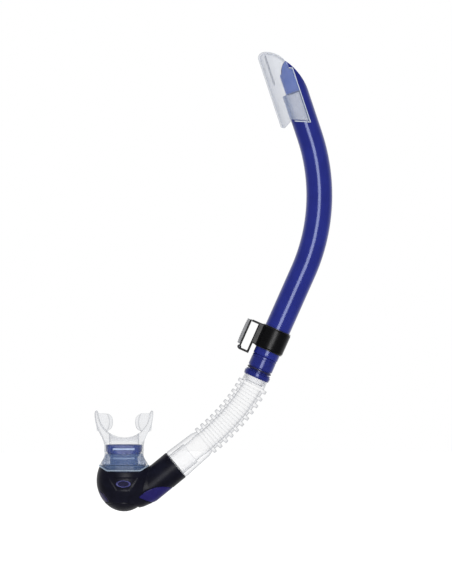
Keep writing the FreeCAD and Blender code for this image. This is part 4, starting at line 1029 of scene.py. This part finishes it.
# ---- stage, light and camera
def build_stage():
    """A round pale floor, low enough for the hose to swing over it, and reaching further behind."""
    drop, sides, radius, middle = 0.07, 96, 1.6, 0.9
    angles = np.linspace(0, 2 * math.pi, sides, endpoint=False)
    points = [(radius * math.cos(a), middle + radius * math.sin(a), cad_box[0][2] - drop) for a in angles]
    mesh = bpy.data.meshes.new("studio_floor")
    mesh.from_pydata(points, [], [list(range(sides))])
    floor = bpy.data.objects.new("studio_floor", mesh)
    SCENE.collection.objects.link(floor)
    white, duller = (0.94, 0.94, 0.945, 1.0), (0.9259, 0.9259, 0.930825, 1.0)
    mesh.materials.append(material("studio_white", white, duller, (0.7, 0.8), 3, 40, 0.01,
                                   Emission_Strength=0.35, Emission_Color=(1.0, 1.0, 1.0, 1.0)))
    floor.visible_glossy = False


def area(name, spot, target, across, tall, power):
    """A soft box at a spot, facing a target."""
    data = bpy.data.lights.new(name, "AREA")
    data.shape = "RECTANGLE"
    data.size, data.size_y = across, tall
    data.energy = power
    lamp = bpy.data.objects.new(name, data)
    SCENE.collection.objects.link(lamp)
    lamp.location = spot
    lamp.rotation_euler = (Vector(target) - Vector(spot)).to_track_quat("-Z", "Y").to_euler()
    return lamp


def studio_world(tree):
    """White to look at; gloss sees a dim room in front of the object and a bright backdrop behind it."""
    dim, bright, ambient, white = 0.16, 0.9, 0.72, 1.0
    make, link = tree.nodes.new, tree.links.new
    back = tree.nodes["Background"]
    back.inputs["Color"].default_value = (1.0, 1.0, 1.0, 1.0)
    way = make("ShaderNodeTexCoord")
    split = make("ShaderNodeSeparateXYZ")
    link(way.outputs["Generated"], split.inputs["Vector"])
    room = map_range(tree, (-0.1, 0.8), (dim, bright), "SMOOTHSTEP")
    link(split.outputs["Y"], room.inputs["Value"])
    ray = make("ShaderNodeLightPath")

    def choose(flag, off, on):
        mix = make("ShaderNodeMix")
        link(flag, mix.inputs["Factor"])
        for socket, amount in ((mix.inputs["A"], off), (mix.inputs["B"], on)):
            if isinstance(amount, float):
                socket.default_value = amount
            else:
                link(amount, socket)
        return mix.outputs["Result"]

    lit = choose(ray.outputs["Is Glossy Ray"], ambient, room.outputs["Result"])
    link(choose(ray.outputs["Is Camera Ray"], lit, white), back.inputs["Strength"])


def light_and_camera():
    world = bpy.data.worlds.new("studio")
    SCENE.world = world
    world.use_nodes = True
    studio_world(world.node_tree)
    # The wide strip makes the long highlights only, and the narrow one lights the front.
    middle = (0.0, 0.0, 0.05)
    area("strip_front", (0.06, -1.6, 0.10), middle, 0.62, 0.9, 14.6).visible_diffuse = False
    area("soft_front", (0.08, -1.6, 0.10), middle, 0.34, 0.9, 8.0).visible_glossy = False
    area("soft_top", (0.2, -0.4, 2.2), (0.0, 0.0, 0.0), 1.8, 1.8, 16.0)

    data = bpy.data.cameras.new("camera")
    distance = 3.0
    seen_height = 0.5615
    data.sensor_width = 36.0
    data.lens = data.sensor_width * distance / seen_height
    data.clip_end = 60.0
    camera = bpy.data.objects.new("camera", data)
    SCENE.collection.objects.link(camera)
    middle_x, middle_z = -0.0224, 0.0420
    camera.location = (middle_x, -distance, middle_z)
    camera.rotation_euler = (math.radians(90), 0, 0)
    SCENE.camera = camera
    SCENE.view_settings.view_transform = "Standard"
    SCENE.cycles.transparent_max_bounces = 40


build_stage()
light_and_camera()
